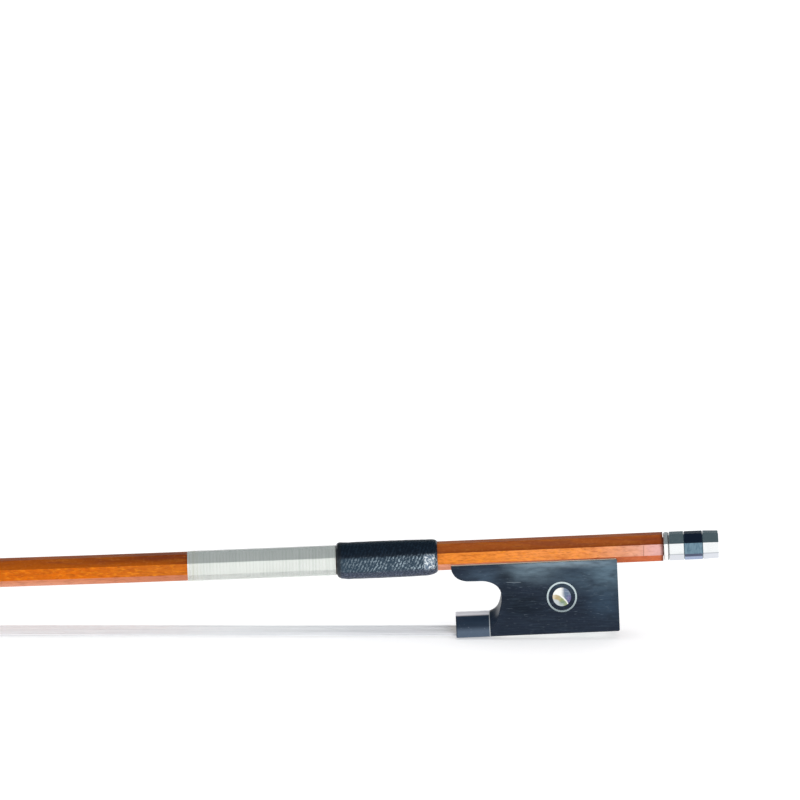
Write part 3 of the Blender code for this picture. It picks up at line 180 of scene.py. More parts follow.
def marks(tree, where, lengths, start, full, most=1.0, detail=2.0):
    """A mask of spots with these lengths in millimetres along X, Y and Z."""
    scale = [1 / (length * MM) for length in lengths]
    spread = put(tree, "ShaderNodeMapping", {"Vector": where, "Scale": scale})
    cloud = {"Vector": spread.outputs["Vector"], "Scale": 1.0, "Detail": detail}
    limits = {"Value": put(tree, "ShaderNodeTexNoise", cloud).outputs["Fac"]}
    limits |= {"From Min": start, "From Max": full, "To Max": most}
    ramp = put(tree, "ShaderNodeMapRange", limits, interpolation_type="SMOOTHSTEP")
    return ramp.outputs["Result"]


def layered(tree, colour, layers):
    """Lays colours over the first one, each through its mask."""
    for mask, over in layers:
        inputs = {0: mask, 6: colour, 7: over}
        colour = put(tree, "ShaderNodeMix", inputs, data_type="RGBA").outputs[2]
    return colour


def finish_with(tree, shader, colour, height, depth):
    """Gives the shader its colour, and raises the surface by up to depth where the height is 1."""
    tree.links.new(colour, shader.inputs["Base Color"])
    bump = put(tree, "ShaderNodeBump", {"Height": height, "Distance": depth, "Strength": 1.0})
    tree.links.new(bump.outputs["Normal"], shader.inputs["Normal"])


# %% [markdown]
# The stick is pernambuco, an orange-red wood that is bent over heat, planed to eight facets and
# varnished thinly. What the eye reads is the fine mottled grain with a few short dark pores, and
# the colour: deep amber at the head, brighter over the frog, and pale and pink beside the button,
# where the fingers hold and rub it and a painted highlight lies on the side facets. The upper
# facets get a painted shade of darker brown. The lower ones get painted light from below, paler
# and redder.
#
# In front of the winding the painted shade stops halfway down the upper facet. Over the frog it
# is deepest at the facet's lower edge. The stick is slightly curved there, so heights are taken
# from two straight lines: one along the front part, and the screw's.

# %% Varnished pernambuco
tree, shader, where, facing = start_finish(
    "bow_wood", "pernambuco, planed and varnished", {"Roughness": 0.3, "Specular IOR Level": 0.08}
)
# Beside the button the side facets are rubbed pale and also carry a painted highlight; this range runs from
# none of it to all of it.
WORN_AND_LIT = (329 * MM, 357 * MM)  # from untouched varnish to bare, rubbed wood
FRONT_RISE = Vector((-0.0336, 0.0, 1.0))  # square to the stick in front of the winding
FRONT_LEVEL = 13.257 * MM  # its axis lies this far up that direction
TOP_SIDES = (facing, UP, 0.35, 0.6)
LOW_SIDES = (facing, UP, -0.4, -0.65)
cheek = put(tree, "ShaderNodeVectorMath", {0: facing}, operation="ABSOLUTE").outputs["Vector"]
amber = layered(
    tree,
    linear("#C4630B"),
    [
        (zone(tree, 1.0, (where, BOW, -0.30, 0.15)), linear("#D86B04")),
        (zone(tree, 1.0, (where, BOW, 0.18, 0.21)), linear("#CA6D1A")),
        (zone(tree, 1.0, (where, BOW, 0.26, 0.30)), linear("#EE8C36")),
        (zone(tree, 1.0, (where, BOW, 0.30, 0.325)), linear("#F4974E")),
        (marks(tree, where, (9, 2.5, 1.6), 0.42, 0.68, 0.24, 3.0), linear("#A04A08")),
        (marks(tree, where, (2.2, 0.8, 0.7), 0.46, 0.66, 0.38, 3.0), linear("#B14C06")),
        (marks(tree, where, (1.7, 0.6, 0.5), 0.50, 0.70, 0.42, 3.0), linear("#F8981C")),
        # Pale and pink side facets beside the button: rubbed wood under a painted highlight.
        (zone(tree, 0.85, (where, BOW, *WORN_AND_LIT), (cheek, ACROSS, 0.75, 0.92)), linear("#E0AC9C")),
        (zone(tree, 0.4, (where, BOW, 0.348, 0.354), (cheek, ACROSS, 0.75, 0.92)), linear("#E4B6C0")),
    ],
)
# Painted shade for the upper facets: darker browns that change along the bow.
painted_top_shade = layered(
    tree,
    linear("#6B3C30"),
    [
        (zone(tree, 1.0, (where, BOW, -0.15, 0.12)), linear("#9C4B0C")),
        (zone(tree, 1.0, (where, BOW, 0.165, 0.212)), linear("#702C08")),
        (zone(tree, 1.0, (where, BOW, 0.26, 0.29)), linear("#95481A")),
        (zone(tree, 1.0, (where, BOW, 0.342, 0.354)), linear("#8B3C18")),
        (marks(tree, where, (16, 3, 1.3), 0.50, 0.66, 0.40, 3.0), linear("#AC661C")),
        (marks(tree, where, (11, 2, 0.9), 0.50, 0.66, 0.40, 3.0), linear("#5E2C2A")),
    ],
)
# Painted light from below for the lower facets: paler, redder tones that change along the bow.
low_front = (where, FRONT_RISE, FRONT_LEVEL - 2 * MM, FRONT_LEVEL - 3.6 * MM)
lower_facet_light = layered(
    tree,
    linear("#DE8F6C"),
    [
        (zone(tree, 0.5, low_front), linear("#EAB09A")),
        (zone(tree, 0.8, (where, BOW, 0.17, 0.21)), linear("#CA7C5A")),
        (zone(tree, 1.0, (where, BOW, 0.26, 0.29)), linear("#F2A488")),
        (zone(tree, 1.0, (where, BOW, 0.30, 0.32)), linear("#E09070")),
        (zone(tree, 1.0, (where, BOW, 0.32, 0.345)), linear("#C65C34")),
    ],
)
# In front of the winding the painted shade is lighter on the lower half of the upper facet.
less_shade_front = [TOP_SIDES, (where, BOW, 0.222, 0.205)]
less_shade_front += [(where, FRONT_RISE, FRONT_LEVEL + 3.1 * MM, FRONT_LEVEL + 1.8 * MM)]
# Over the frog the painted shade is deepest at the upper facet's lower edge.
deep_shade_edge = [TOP_SIDES, (where, BOW, 0.285, 0.295)]
deep_shade_edge += [(where, OVER, BUTT_OVER + 2.8 * MM, BUTT_OVER + 1.8 * MM)]
# The upper facets take the painted shade and the lower ones the painted light from below; the last two marks
# are grain.
wood = layered(
    tree,
    amber,
    [
        (zone(tree, 0.93, TOP_SIDES), painted_top_shade),
        (zone(tree, 0.78, *less_shade_front), linear("#B05606")),
        (zone(tree, 0.5, *deep_shade_edge), linear("#74300A")),
        (zone(tree, 0.85, LOW_SIDES), lower_facet_light),
        (marks(tree, where, (2.8, 1.2, 1.0), 0.45, 0.70, 0.24, 3.0), linear("#84380A")),
        (marks(tree, where, (1.0, 0.5, 0.5), 0.52, 0.72, 0.10), linear("#E89A56")),
    ],
)
print("wood: mottles about 2 mm long")

# %% [markdown]
# Then come the marks that sit on top. Pores are short and dark. At the head, the chamfers and the
# crest get a painted shade, and a small knot sits in the corner of the throat. Beside the button a
# hairline check crosses the side facet, and the end of the wood is darker where it meets the metal.
# Under the wire the wood is grey with tarnish.

# %% Marks on the wood
HEAD_BACK = -338 * MM  # where the stick starts to turn into the head
WINDING_FRONT, WINDING_REAR = 215.4 * MM, 259.53 * MM
pores = marks(tree, where, (1.9, 0.17, 0.17), 0.62, 0.72, 0.45, 1.0)
# Painted shade on the head's chamfers and crest, on faces that look neither sideways nor down.
shaded_chamfers = [(cheek, ACROSS, 0.90, 0.76), (facing, UP, -0.86, -0.55)]
shaded_chamfers += [(where, BOW, HEAD_BACK, HEAD_BACK - 4 * MM)]
check = [(where, BOW, 350.0 * MM, 350.1 * MM), (where, BOW, 350.35 * MM, 350.25 * MM)]
check += [(where, ACROSS, 0, -MM), (cheek, ACROSS, 0.9, 0.98)]
check += [marks(tree, where, (50, 50, 3), 0.35, 0.50)]
knot = [(where, BOW, -351.6 * MM, -351.2 * MM), (where, BOW, -349.6 * MM, -350.2 * MM)]
knot += [(where, UP, 16.75 * MM, 16.9 * MM), (where, UP, 17.2 * MM, 17.05 * MM)]
knot += [(where, ACROSS, 0, MM)]
# The end of the wood is darker where it meets the metal.
dark_end = (where, ALONG, BUTT_ALONG - 1.1 * MM, BUTT_ALONG - 0.1 * MM)
covered = [(where, BOW, WINDING_FRONT + 0.4 * MM, WINDING_FRONT + 0.6 * MM)]
covered += [(where, BOW, WINDING_REAR + 0.6 * MM, WINDING_REAR + 0.5 * MM)]
wood = layered(
    tree,
    wood,
    [
        (pores, linear("#6E3210")),
        # Painted shade at the head.
        (zone(tree, 0.85, *shaded_chamfers), linear("#55323A")),
        (zone(tree, 0.5, *check), linear("#6E4632")),
        (zone(tree, 0.7, *knot), linear("#6B2C10")),
        (zone(tree, 0.75, dark_end), linear("#4A1E14")),
        (zone(tree, 0.95, *covered), linear("#4A4A44")),
    ],
)
finish_with(tree, shader, wood, pores, -0.00001)
print("marks: pores 1.9 mm long and 0.17 mm wide, stain, check, knot and soil")

# %% [markdown]
# The frog is ebony, a nearly black wood that is filed, scraped and oiled. It is matt where the thumb
# sits. A blue-grey painted sheen lies along the top, over the eye and at the rear corner, with a strip
# of painted light along the top edge beside the stick, and three darker ovals of painted shade sit
# in and below the throat. A few fine pores catch dust and show lighter, and one short scratch runs
# under the rail. The painted sheen and shade are soft ovals, whose middles are in millimetres.

# %% Oiled ebony
tree, shader, where, facing = start_finish(
    "ebony", "ebony, filed and oiled", {"Roughness": 0.38, "Specular IOR Level": 0.14}
)
ANY = 1000  # an oval that runs right through the frog from side to side
# Painted sheen and painted shade on the ebony: each oval's middle, its radii, its strength and its colour.
SHEEN_AND_SHADE = [
    ((303, 0, 18.2), (9, ANY, 5), 0.75, "#45586A"),
    ((317, 0, 20.0), (13, ANY, 5.5), 0.95, "#667985"),
    ((330, 0, 17.5), (12, ANY, 6), 0.65, "#465A6A"),
    ((340, 0, 20.0), (11, ANY, 9), 0.95, "#5E7584"),
    ((339, 0, 11.0), (9, ANY, 8), 0.60, "#3A5064"),
    # A strip of painted light along the top edge, beside the stick.
    ((325, 0, 22.8), (24, ANY, 2.4), 0.85, "#8CA0AD"),
    # Three ovals of painted shade, in and below the throat.
    ((309, 0, 13.5), (6, ANY, 6), 0.60, "#0C1826"),
    ((309, 0, 18.3), (5, ANY, 2.6), 0.85, "#0E1926"),
    ((315, 0, 9.9), (8, ANY, 4.5), 0.95, "#081522"),
]
black = linear("#1A2535")
for centre, radii, most, painted_tone in SHEEN_AND_SHADE:
    clouds = marks(tree, where, (7, 3, 2.2), 0.1, 0.55)
    cloudy = zone(tree, most, patch(tree, where, centre, radii, 1.0), clouds)
    black = layered(tree, black, [(cloudy, linear(painted_tone))])
streaks = marks(tree, where, (5, 0.5, 0.32), 0.45, 0.75, 0.30, 3.0)
dusty = marks(tree, where, (1.7, 0.16, 0.13), 0.66, 0.76, 0.38, 1.0)
scratch = [(where, BOW, 309.6 * MM, 310.2 * MM), (where, BOW, 314.2 * MM, 313.6 * MM)]
scratch += [(where, UP, 16.70 * MM, 16.78 * MM), (where, UP, 16.92 * MM, 16.84 * MM), (where, ACROSS, 0, -MM)]
black = layered(
    tree,
    black,
    [
        (marks(tree, where, (3, 1.2, 0.9), 0.40, 0.70, 0.30, 3.0), linear("#0E1822")),
        (streaks, linear("#3A4A58")),
        (dusty, linear("#7B8894")),
        (zone(tree, 0.6, *scratch), linear("#8B979F")),
    ],
)
finish_with(tree, shader, black, streaks, 0.00001)
print("ebony: pores about 1.7 mm long, bloom in", len(SHEEN_AND_SHADE), "patches")

# %% [markdown]
# The button's middle is the same wood, but it is turned, cut to eight flats and polished on a wheel.
# Its upper flats stay blue-black. Those that face sideways get a hazy blue-grey painted sheen, and
# those that face down a paler painted reflection, with a painted shadow line along their upper
# edges. Another painted shadow line runs at the same height on the metal rings.

# %% Wheel-polished ebony
tree, shader, where, facing = start_finish(
    "button_ebony", "ebony, cut to flats and polished", {"Roughness": 0.2, "Specular IOR Level": 0.3}
)
sheen_mottle = marks(tree, where, (0.5, 1.2, 1.6), 0.25, 0.65, 1.0, 3.0)
# Painted sheen on the flats that face sideways, mottled.
side_sheen = zone(tree, 0.95, (facing, OVER, 0.55, 0.3))
FLAT_EDGE = BUTT_OVER - 1.57 * MM  # where a side flat of the button meets a lower one
UNDERNEATH = (-0.5, -0.66)  # how far a surface turns away from the top before it counts as below
underneath = (facing, OVER, *UNDERNEATH)
below_edge = (where, OVER, FLAT_EDGE - 1.25 * MM, FLAT_EDGE - 1.0 * MM)
polished = layered(
    tree,
    linear("#0C1829"),
    [
        (side_sheen, linear("#48677B")),
        (zone(tree, 0.6, side_sheen, sheen_mottle), linear("#7E9AA8")),
        # Painted reflection on the flats that face down, then a painted shadow line along their upper edges.
        (zone(tree, 0.9, underneath), linear("#9AA6C4")),
        (zone(tree, 0.95, underneath, below_edge), linear("#242F50")),
    ],
)
finish_with(tree, shader, polished, sheen_mottle, 0.000003)
print("button: flats that face up stay dark")

# %% [markdown]
# Nickel silver is an alloy of copper, zinc and nickel, drawn to tube and strip and then polished.
# It is nearly as white as silver. Fine scratches run along the bow, and a thin tarnish sits in
# clouds. Where the collar meets the button, polish and dirt have filled the joint with a dark line.
#
# The pieces differ. The button's rings are polished, so their colour is all in their reflection.
# The collar is a bead left as it came from the lathe. The rings of the eyes were filed level with
# the ebony and have dulled. The edge of the slide's lining is rubbed matt and pale by the stick.

# %% Nickel silver, four ways
COLLAR_LENGTH = 1.6 * MM
NICKEL = [
    ("nickel_silver", "nickel silver, drawn and polished", "#ECEEEE", 1.0, 0.15),
    ("collar", "nickel silver, turned to a bead", "#FAFAF8", 0.85, 0.3),
    ("eye_ring", "nickel silver, inlaid and filed level", "#C4D3D6", 1.0, 0.25),
    ("underslide", "nickel silver, rubbed matt", "#F4EEDC", 0.2, 0.5),
]
JOINT = BUTT_ALONG + COLLAR_LENGTH
EYE = BUTT + ALONG * (-30.4 * MM) + OVER * (-12.7 * MM)
for slot, name, colour, metallic, roughness in NICKEL:
    constants = {"Metallic": metallic, "Roughness": roughness}
    tree, shader, where, facing = start_finish(slot, name, constants)
    scratches = marks(tree, where, (4, 0.12, 0.12), 0.45, 0.75, 0.25, 1.0)
    dirt = [(where, ALONG, JOINT - 0.20 * MM, JOINT - 0.08 * MM)]
    dirt += [(where, ALONG, JOINT + 0.18 * MM, JOINT + 0.06 * MM)]
    # A painted shadow line on the button's rings, level with the one on its ebony flats.
    edge_line = [(where, OVER, FLAT_EDGE - 0.40 * MM, FLAT_EDGE - 0.10 * MM)]
    edge_line += [(where, OVER, FLAT_EDGE + 0.18 * MM, FLAT_EDGE + 0.02 * MM)]
    edge_line += [(where, ALONG, JOINT, JOINT + 0.1 * MM)]
    # The rings' flats that face down get a darker painted reflection.
    below = [(facing, OVER, *UNDERNEATH), (where, ALONG, JOINT, JOINT + 0.1 * MM)]
    low = [(where, OVER, EYE.dot(OVER), EYE.dot(OVER) - 4 * MM)]
    low += [(where, ALONG, EYE.dot(ALONG) + 7 * MM, EYE.dot(ALONG) + 6 * MM)]
    metal = layered(
        tree,
        linear(colour),
        [
            (marks(tree, where, (3, 1.5, 1.5), 0.50, 0.75, 0.25), linear("#C4CAC6")),
            (scratches, linear("#CDD3D3")),
            (zone(tree, 0.6, *low), linear("#9FADB2")),
            # The rings' painted reflection underneath and their painted shadow line.
            (zone(tree, 0.85, *below), linear("#D6D9E0")),
            (zone(tree, 0.7, *edge_line), linear("#A4A9AF")),
            (zone(tree, 0.85, *dirt), linear("#3A3E42")),
        ],
    )
    finish_with(tree, shader, metal, scratches, 0.000003)
print("nickel silver: scratches about 4 mm long, on", len(NICKEL), "finishes")

# %% [markdown]
# The ferrule is the same alloy, but thumb and rosin have tarnished its sides to a dark steel blue,
# which is lighter near the hair. Its crest, where the thumb slides, is rubbed dull and gets a pale
# grey painted highlight, and the edge beside the frog gets a bright painted highlight.

# %% Tarnished ferrule
tree, shader, where, facing = start_finish(
    "ferrule", "nickel silver, tarnished at the sides", {"Roughness": 0.38}
)
FERRULE_REAR = BUTT_ALONG - 51.9 * MM
FERRULE_FRONT = FERRULE_REAR - 10.1 * MM
LOW_SIDE = BUTT_OVER - 21.6 * MM
# The crest carries a pale painted highlight and is made matt, so it shows from every side.
crest = zone(tree, 1.0, (facing, OVER, 0.95, 0.985))
dulled = {"Value": crest, "To Min": 0.2, "To Max": 0.0}  # tarnish shines a little, the rubbed crest not
tree.links.new(put(tree, "ShaderNodeMapRange", dulled).outputs["Result"], shader.inputs["Metallic"])
film = marks(tree, where, (2.5, 1.5, 1.5), 0.35, 0.70, 0.5)
specks = marks(tree, where, (0.5, 0.4, 0.4), 0.68, 0.74, 0.5)
front_edge = zone(tree, 0.7, (where, ALONG, FERRULE_FRONT + 0.5 * MM, FERRULE_FRONT + 0.1 * MM))
# A bright painted highlight on the rear edge, beside the frog.
rear_edge = zone(tree, 0.8, (where, ALONG, FERRULE_REAR - 0.32 * MM, FERRULE_REAR - 0.2 * MM))
metal = layered(
    tree,
    linear("#26364A"),
    [
        (film, linear("#2E4054")),
        (zone(tree, 0.9, (where, OVER, LOW_SIDE + 1.4 * MM, LOW_SIDE - 0.6 * MM)), linear("#4E6074")),
        (specks, linear("#8B99A6")),
        (front_edge, linear("#1C2A38")),
        (crest, linear("#FAF8FC")),
        (rear_edge, linear("#C9CFD2")),
    ],
)
finish_with(tree, shader, metal, specks, 0.000005)
print("ferrule: pale crest and bright rear edge on a dark film")

# %% [markdown]
# The winding is silver-plated wire, drawn through a die and left bright. Each turn tarnishes a
# little differently, and skin has yellowed the first few turns towards the head.

# %% Drawn silver wire
tree, shader, where, facing = start_finish(
    "silver_wire", "silver-plated wire, drawn", {"Metallic": 0.6, "Roughness": 0.22}
)
turns = marks(tree, where, (0.6, 60, 60), 0.42, 0.70, 0.25, 3.0)
yellowed = zone(tree, 0.7, turns, (where, BOW, WINDING_FRONT + 5 * MM, WINDING_FRONT + 2 * MM))
silver = layered(
    tree, linear("#FCFFFA"), [(turns, linear("#D8E4DA")), (yellowed, linear("#C9B45C"))]
)
finish_with(tree, shader, silver, marks(tree, where, (0.2, 0.6, 0.6), 0.4, 0.7), 0.000003)
print("wire: tarnish changes every two turns")

# %% [markdown]
# The grip is thin leather, dyed blue-black, pared at its edges and glued round the stick. Stretched
# round so tight a curve, its grain has drawn out into slanting ripples, about 0.9 mm apart. A wave
# pattern, bent by noise, gives the ripples, and finer noise breaks them into pebbles. On the flanks a
# blue-grey painted sheen lies over the dye, and the ripples' tops get a grey painted highlight, most
# of all near the frog. The top stays dark, and underneath a paler painted reflection is only finely
# speckled. The front end gets a painted shadow, and bright painted highlights lie near the rear end.

# %% Dyed leather
RIPPLE = 0.9  # millimetres from one ripple to the next
WAVES_PER_UNIT = 20 / (2 * math.pi)  # a wave texture draws this many bands in one unit
LEATHER_FRONT, LEATHER_REAR = 259.62 * MM, 289.43 * MM
tree, shader, where, facing = start_finish(
    "black_leather", "goat leather, dyed and rubbed", {"Roughness": 0.38, "Specular IOR Level": 0.3}
)
LEAN = math.radians(-24)
turned = {"Vector": where, "Rotation": (0.0, LEAN, 0.0)}
turned["Scale"] = [1 / (RIPPLE * WAVES_PER_UNIT * MM)] * 3
slanted = put(tree, "ShaderNodeMapping", turned).outputs["Vector"]
wavy = {"Vector": slanted, "Scale": 1.0, "Distortion": 5.0, "Detail": 2.0, "Detail Scale": 4.0}
ripples = put(tree, "ShaderNodeTexWave", wavy, wave_type="BANDS").outputs["Fac"]
pebbles = marks(tree, where, (0.7, 0.8, 0.7), 0.38, 0.60)
broken = put(tree, "ShaderNodeMath", {0: pebbles, 1: 0.65, 2: 0.35}, operation="MULTIPLY_ADD")
raised = {0: ripples, 1: broken.outputs["Value"]}
grain = put(tree, "ShaderNodeMath", raised, operation="MULTIPLY").outputs["Value"]
above = {"Value": grain, "From Min": 0.25, "From Max": 0.85}
tops = put(tree, "ShaderNodeMapRange", above).outputs["Result"]
# The flanks and the underside are where the painted sheen and painted reflection go.
flank = zone(tree, 1.0, (facing, UP, 0.48, 0.15), (facing, UP, -0.66, -0.40))
under = zone(tree, 1.0, (facing, UP, -0.40, -0.66))
toward_frog = (where, BOW, LEATHER_FRONT - 7 * MM, LEATHER_REAR - 10 * MM)
# Painted highlight on the ripples' tops on the flanks, strongest toward the frog.
rubbed = zone(tree, 1.0, flank, tops, toward_frog, marks(tree, where, (3, 1.5, 1.5), 0.25, 0.55))
# Bright painted highlights near the rear end.
rear_end_highlight = [flank, (where, BOW, LEATHER_REAR - 4.3 * MM, LEATHER_REAR - 3.6 * MM)]
rear_end_highlight += [(where, BOW, LEATHER_REAR - 0.7 * MM, LEATHER_REAR - 1.1 * MM)]
# The front end gets a painted shadow.
front_fold = (where, BOW, LEATHER_FRONT + 1.7 * MM, LEATHER_FRONT + 0.7 * MM)
bright_tops = zone(tree, 0.95, marks(tree, where, (0.5, 0.6, 0.5), 0.44, 0.60), *rear_end_highlight)
rear_edge = (where, BOW, LEATHER_REAR - 0.14 * MM, LEATHER_REAR - 0.06 * MM)
# Painted sheen on the flanks, painted highlights on the tops, painted reflection underneath, a painted shadow
# at the front end, and the pale pared rear edge.
hide = layered(
    tree,
    linear("#081624"),
    [
        (zone(tree, 0.85, flank), linear("#253D4E")),
        (zone(tree, 0.4, tops), linear("#22384A")),
        (rubbed, linear("#94A5B0")),
        (zone(tree, 0.85, under), linear("#2C364A")),
        (zone(tree, 0.6, under, marks(tree, where, (0.5, 0.5, 0.5), 0.48, 0.62)), linear("#626C82")),
        (zone(tree, 0.6, *rear_end_highlight), linear("#70849A")),
        (bright_tops, linear("#DCE4E8")),
        (zone(tree, 0.5, (facing, UP, -0.85, -0.98)), linear("#5A6070")),
        (zone(tree, 0.75, front_fold), linear("#15181C")),
        (zone(tree, 0.8, rear_edge), linear("#AEB6BA")),
    ],
)
finish_with(tree, shader, hide, grain, 0.00009)
print("leather: ripples", RIPPLE, "mm apart")

# %% [markdown]
# Horsehair is nearly white and half clear. Along its length each hair is a little lighter or darker
# than the next, and towards the frog it turns a little greyer. The streaks are very long and
# one hair wide.

# %% Rosined horsehair
tree, shader, where, facing = start_finish(
    "horsehair",
    "horsehair, combed and rosined",
    {"Roughness": 0.5, "Specular IOR Level": 0.5, "Sheen Weight": 0.7},
)
shade = marks(tree, where, (45, 0.35, 0.25), 0.40, 0.70, 0.45, 3.0)
light = marks(tree, where, (30, 0.25, 0.25), 0.55, 0.72, 0.6, 2.0)
hair = layered(
    tree,
    linear("#FCFDFF"),
    [
        (shade, linear("#EAECEE")),
        (light, linear("#FFFFFF")),
        (zone(tree, 0.2, (where, BOW, 0.20, 0.29)), linear("#C6C6CC")),
    ],
)
finish_with(tree, shader, hair, light, 0.00001)
print("horsehair: streaks one hair wide")

# %% [markdown]
# The face of the head is bone on a black fibre liner. Bone is sawn and polished: warm white, with
# faint streaks along its length. The liner is matt and shows only as a dark line.

# %% Polished bone and black fibre
tree, shader, where, facing = start_finish("white_plate", "bone, sawn and polished", {"Roughness": 0.3})
streaks = marks(tree, where, (6, 0.4, 0.4), 0.45, 0.75, 0.35)
bone = layered(tree, linear("#F3EDDF"), [(streaks, linear("#DCCFB2"))])
finish_with(tree, shader, bone, streaks, 0.000005)

tree, shader, where, facing = start_finish(
    "black_liner", "vulcanised fibre, cut from sheet", {"Roughness": 0.6}
)
fluff = marks(tree, where, (0.6, 0.3, 0.3), 0.45, 0.75, 0.5)
fibre = layered(tree, linear("#120F10"), [(fluff, linear("#2C2628"))])
finish_with(tree, shader, fibre, fluff, 0.00001)
print("head face: bone over a black line")

# %% [markdown]
# Mother-of-pearl is sawn from shell and polished. Its layers split light, so it turns from cream
# and green to grey and violet across a soft edge. In the eye one band of layers crosses the disc as
# an arc: tan at the left, olive green where it falls to the right, with white above it. Beyond a
# thin white line the shell turns blue-grey and violet, and below the band it is pale grey.
#
# The arc is part of a ring round a point below the eye, so a distance from that point and a place
# along the bow lay out all the colours. Noise bends both a little. The slide under the frog is a
# long piece of the same shell, with clouds of green, rose and blue-grey instead.

# %% Polished mother-of-pearl
tree, shader, where, facing = start_finish(
    "mother_of_pearl",
    "mother-of-pearl, sawn and polished",
    {"Roughness": 0.2, "Thin Film Thickness": 320.0, "Thin Film IOR": 1.5},
)
FLAT = (1.0, 0.0, 1.0)  # drops the part across the bow
RING_CENTRE = Vector((-2.72, 0.0, -4.35)) * MM
BEND = [0.7 * MM] * 3
on_disc = {0: where, 1: FLAT, 2: tuple(-EYE)}
from_eye = put(tree, "ShaderNodeVectorMath", on_disc, operation="MULTIPLY_ADD").outputs["Vector"]
wobble = put(tree, "ShaderNodeTexNoise", {"Vector": from_eye, "Scale": 450.0}).outputs["Color"]
centred = {0: wobble, 1: (0.5, 0.5, 0.5)}
swing = put(tree, "ShaderNodeVectorMath", centred, operation="SUBTRACT").outputs["Vector"]
bent = {0: swing, 1: BEND, 2: from_eye}
shell = put(tree, "ShaderNodeVectorMath", bent, operation="MULTIPLY_ADD").outputs["Vector"]
offset = {0: shell, 1: tuple(RING_CENTRE)}
from_centre = put(tree, "ShaderNodeVectorMath", offset, operation="SUBTRACT").outputs["Vector"]
reach = put(tree, "ShaderNodeVectorMath", {0: from_centre}, operation="LENGTH").outputs["Value"]
rings = put(tree, "ShaderNodeCombineXYZ", {"X": reach}).outputs["Vector"]
in_eye = (where, OVER, EYE.dot(OVER) - 5 * MM, EYE.dot(OVER) - 4 * MM)
in_slide = (where, OVER, EYE.dot(OVER) - 4 * MM, EYE.dot(OVER) - 5 * MM)
band = [in_eye, (rings, BOW, 5.05 * MM, 4.85 * MM), (rings, BOW, 3.50 * MM, 3.95 * MM)]
beyond = [in_eye, (rings, BOW, 5.20 * MM, 5.45 * MM), (shell, BOW, -0.5 * MM, 1.0 * MM)]
violet = [in_eye, (rings, BOW, 5.20 * MM, 5.45 * MM), (shell, BOW, 1.0 * MM, 1.9 * MM)]
violet += [(shell, UP, 0.9 * MM, -0.2 * MM)]
gloss = marks(tree, where, (1.2, 0.6, 0.5), 0.40, 0.70, 0.20, 3.0)
pearl = layered(
    tree,
    linear("#F3F3EE"),
    [
        (marks(tree, where, (5, 3, 3), 0.45, 0.70, 0.30), linear("#D5DCC8")),
        (zone(tree, 0.95, *beyond), linear("#4C6482")),
        (zone(tree, 0.85, *violet), linear("#544C86")),
        (zone(tree, 0.95, *band), linear("#84944A")),
        (zone(tree, 0.9, *band, (shell, BOW, 0.1 * MM, -0.9 * MM)), linear("#B9A276")),
        (zone(tree, 0.7, *band, (shell, BOW, -1.6 * MM, -2.6 * MM)), linear("#EADCC4")),
        (zone(tree, 0.85, in_eye, (rings, BOW, 4.0 * MM, 3.5 * MM)), linear("#B2BCC2")),
        (patch(tree, shell, (0.25, 0, -1.7), (1.6, 10, 1.2), 0.95), linear("#748C7C")),
        (zone(tree, 0.7, in_slide, marks(tree, where, (7, 2.5, 9), 0.44, 0.62)), linear("#A8C0AE")),
        (zone(tree, 0.6, in_slide, marks(tree, where, (4, 1.6, 9), 0.48, 0.64)), linear("#D8BCCB")),
        (zone(tree, 0.7, in_slide, marks(tree, where, (9, 1.9, 9), 0.50, 0.64)), linear("#8FA6BC")),
        (gloss, linear("#E3E9EA")),
    ],
)
finish_with(tree, shader, pearl, gloss, 0.000004)
print("pearl: cream, tan, green, grey, blue and violet")

# %% [markdown]
# The rest sits inside: the turned steel screw, the brass eyelet, the maple plugs and wedge, and the
# waxed linen thread round the knots. Each gets its grain, tool marks or twist from one table, with
# the mark's lengths in millimetres, because all are one base colour with one kind of mark.

# %% Inner materials
INNER = [
    ("screw_steel", "steel, turned bright", "#9AA0A6", "#6E747A", 1.0, 0.3, (0.15, 8, 8), 0.000006),
    ("eyelet_brass", "brass, turned and filed", "#CDA64E", "#8F6F2C", 1.0, 0.33, (0.3, 0.3, 3), 0.000006),
    ("maple", "maple, cut with a knife", "#E8DAB8", "#C2A778", 0.0, 0.6, (4, 0.3, 0.3), 0.00002),
    ("binding_thread", "linen thread, waxed", "#CDBB93", "#8E7B55", 0.0, 0.7, (0.8, 0.8, 0.16), 0.00005),
]
for slot, name, colour, mark_colour, metallic, roughness, lengths, depth in INNER:
    constants = {"Metallic": metallic, "Roughness": roughness}
    tree, shader, where, facing = start_finish(slot, name, constants)
    mark = marks(tree, where, lengths, 0.42, 0.68, 0.8)
    finish_with(tree, shader, layered(tree, linear(colour), [(mark, linear(mark_colour))]), mark, depth)
print("finishes:", len(FINISHES))

# %% [markdown]
# The frame's meshes arrive as loose flat triangles. Their shapes are right, so only the shading
# needs help. A small geometry group welds the triangles, smooths across shallow bends and keeps the
# crisp edges. A narrow bevel then gives those edges the tiny rounding that filing leaves, which is
# what catches the light on a real edge.

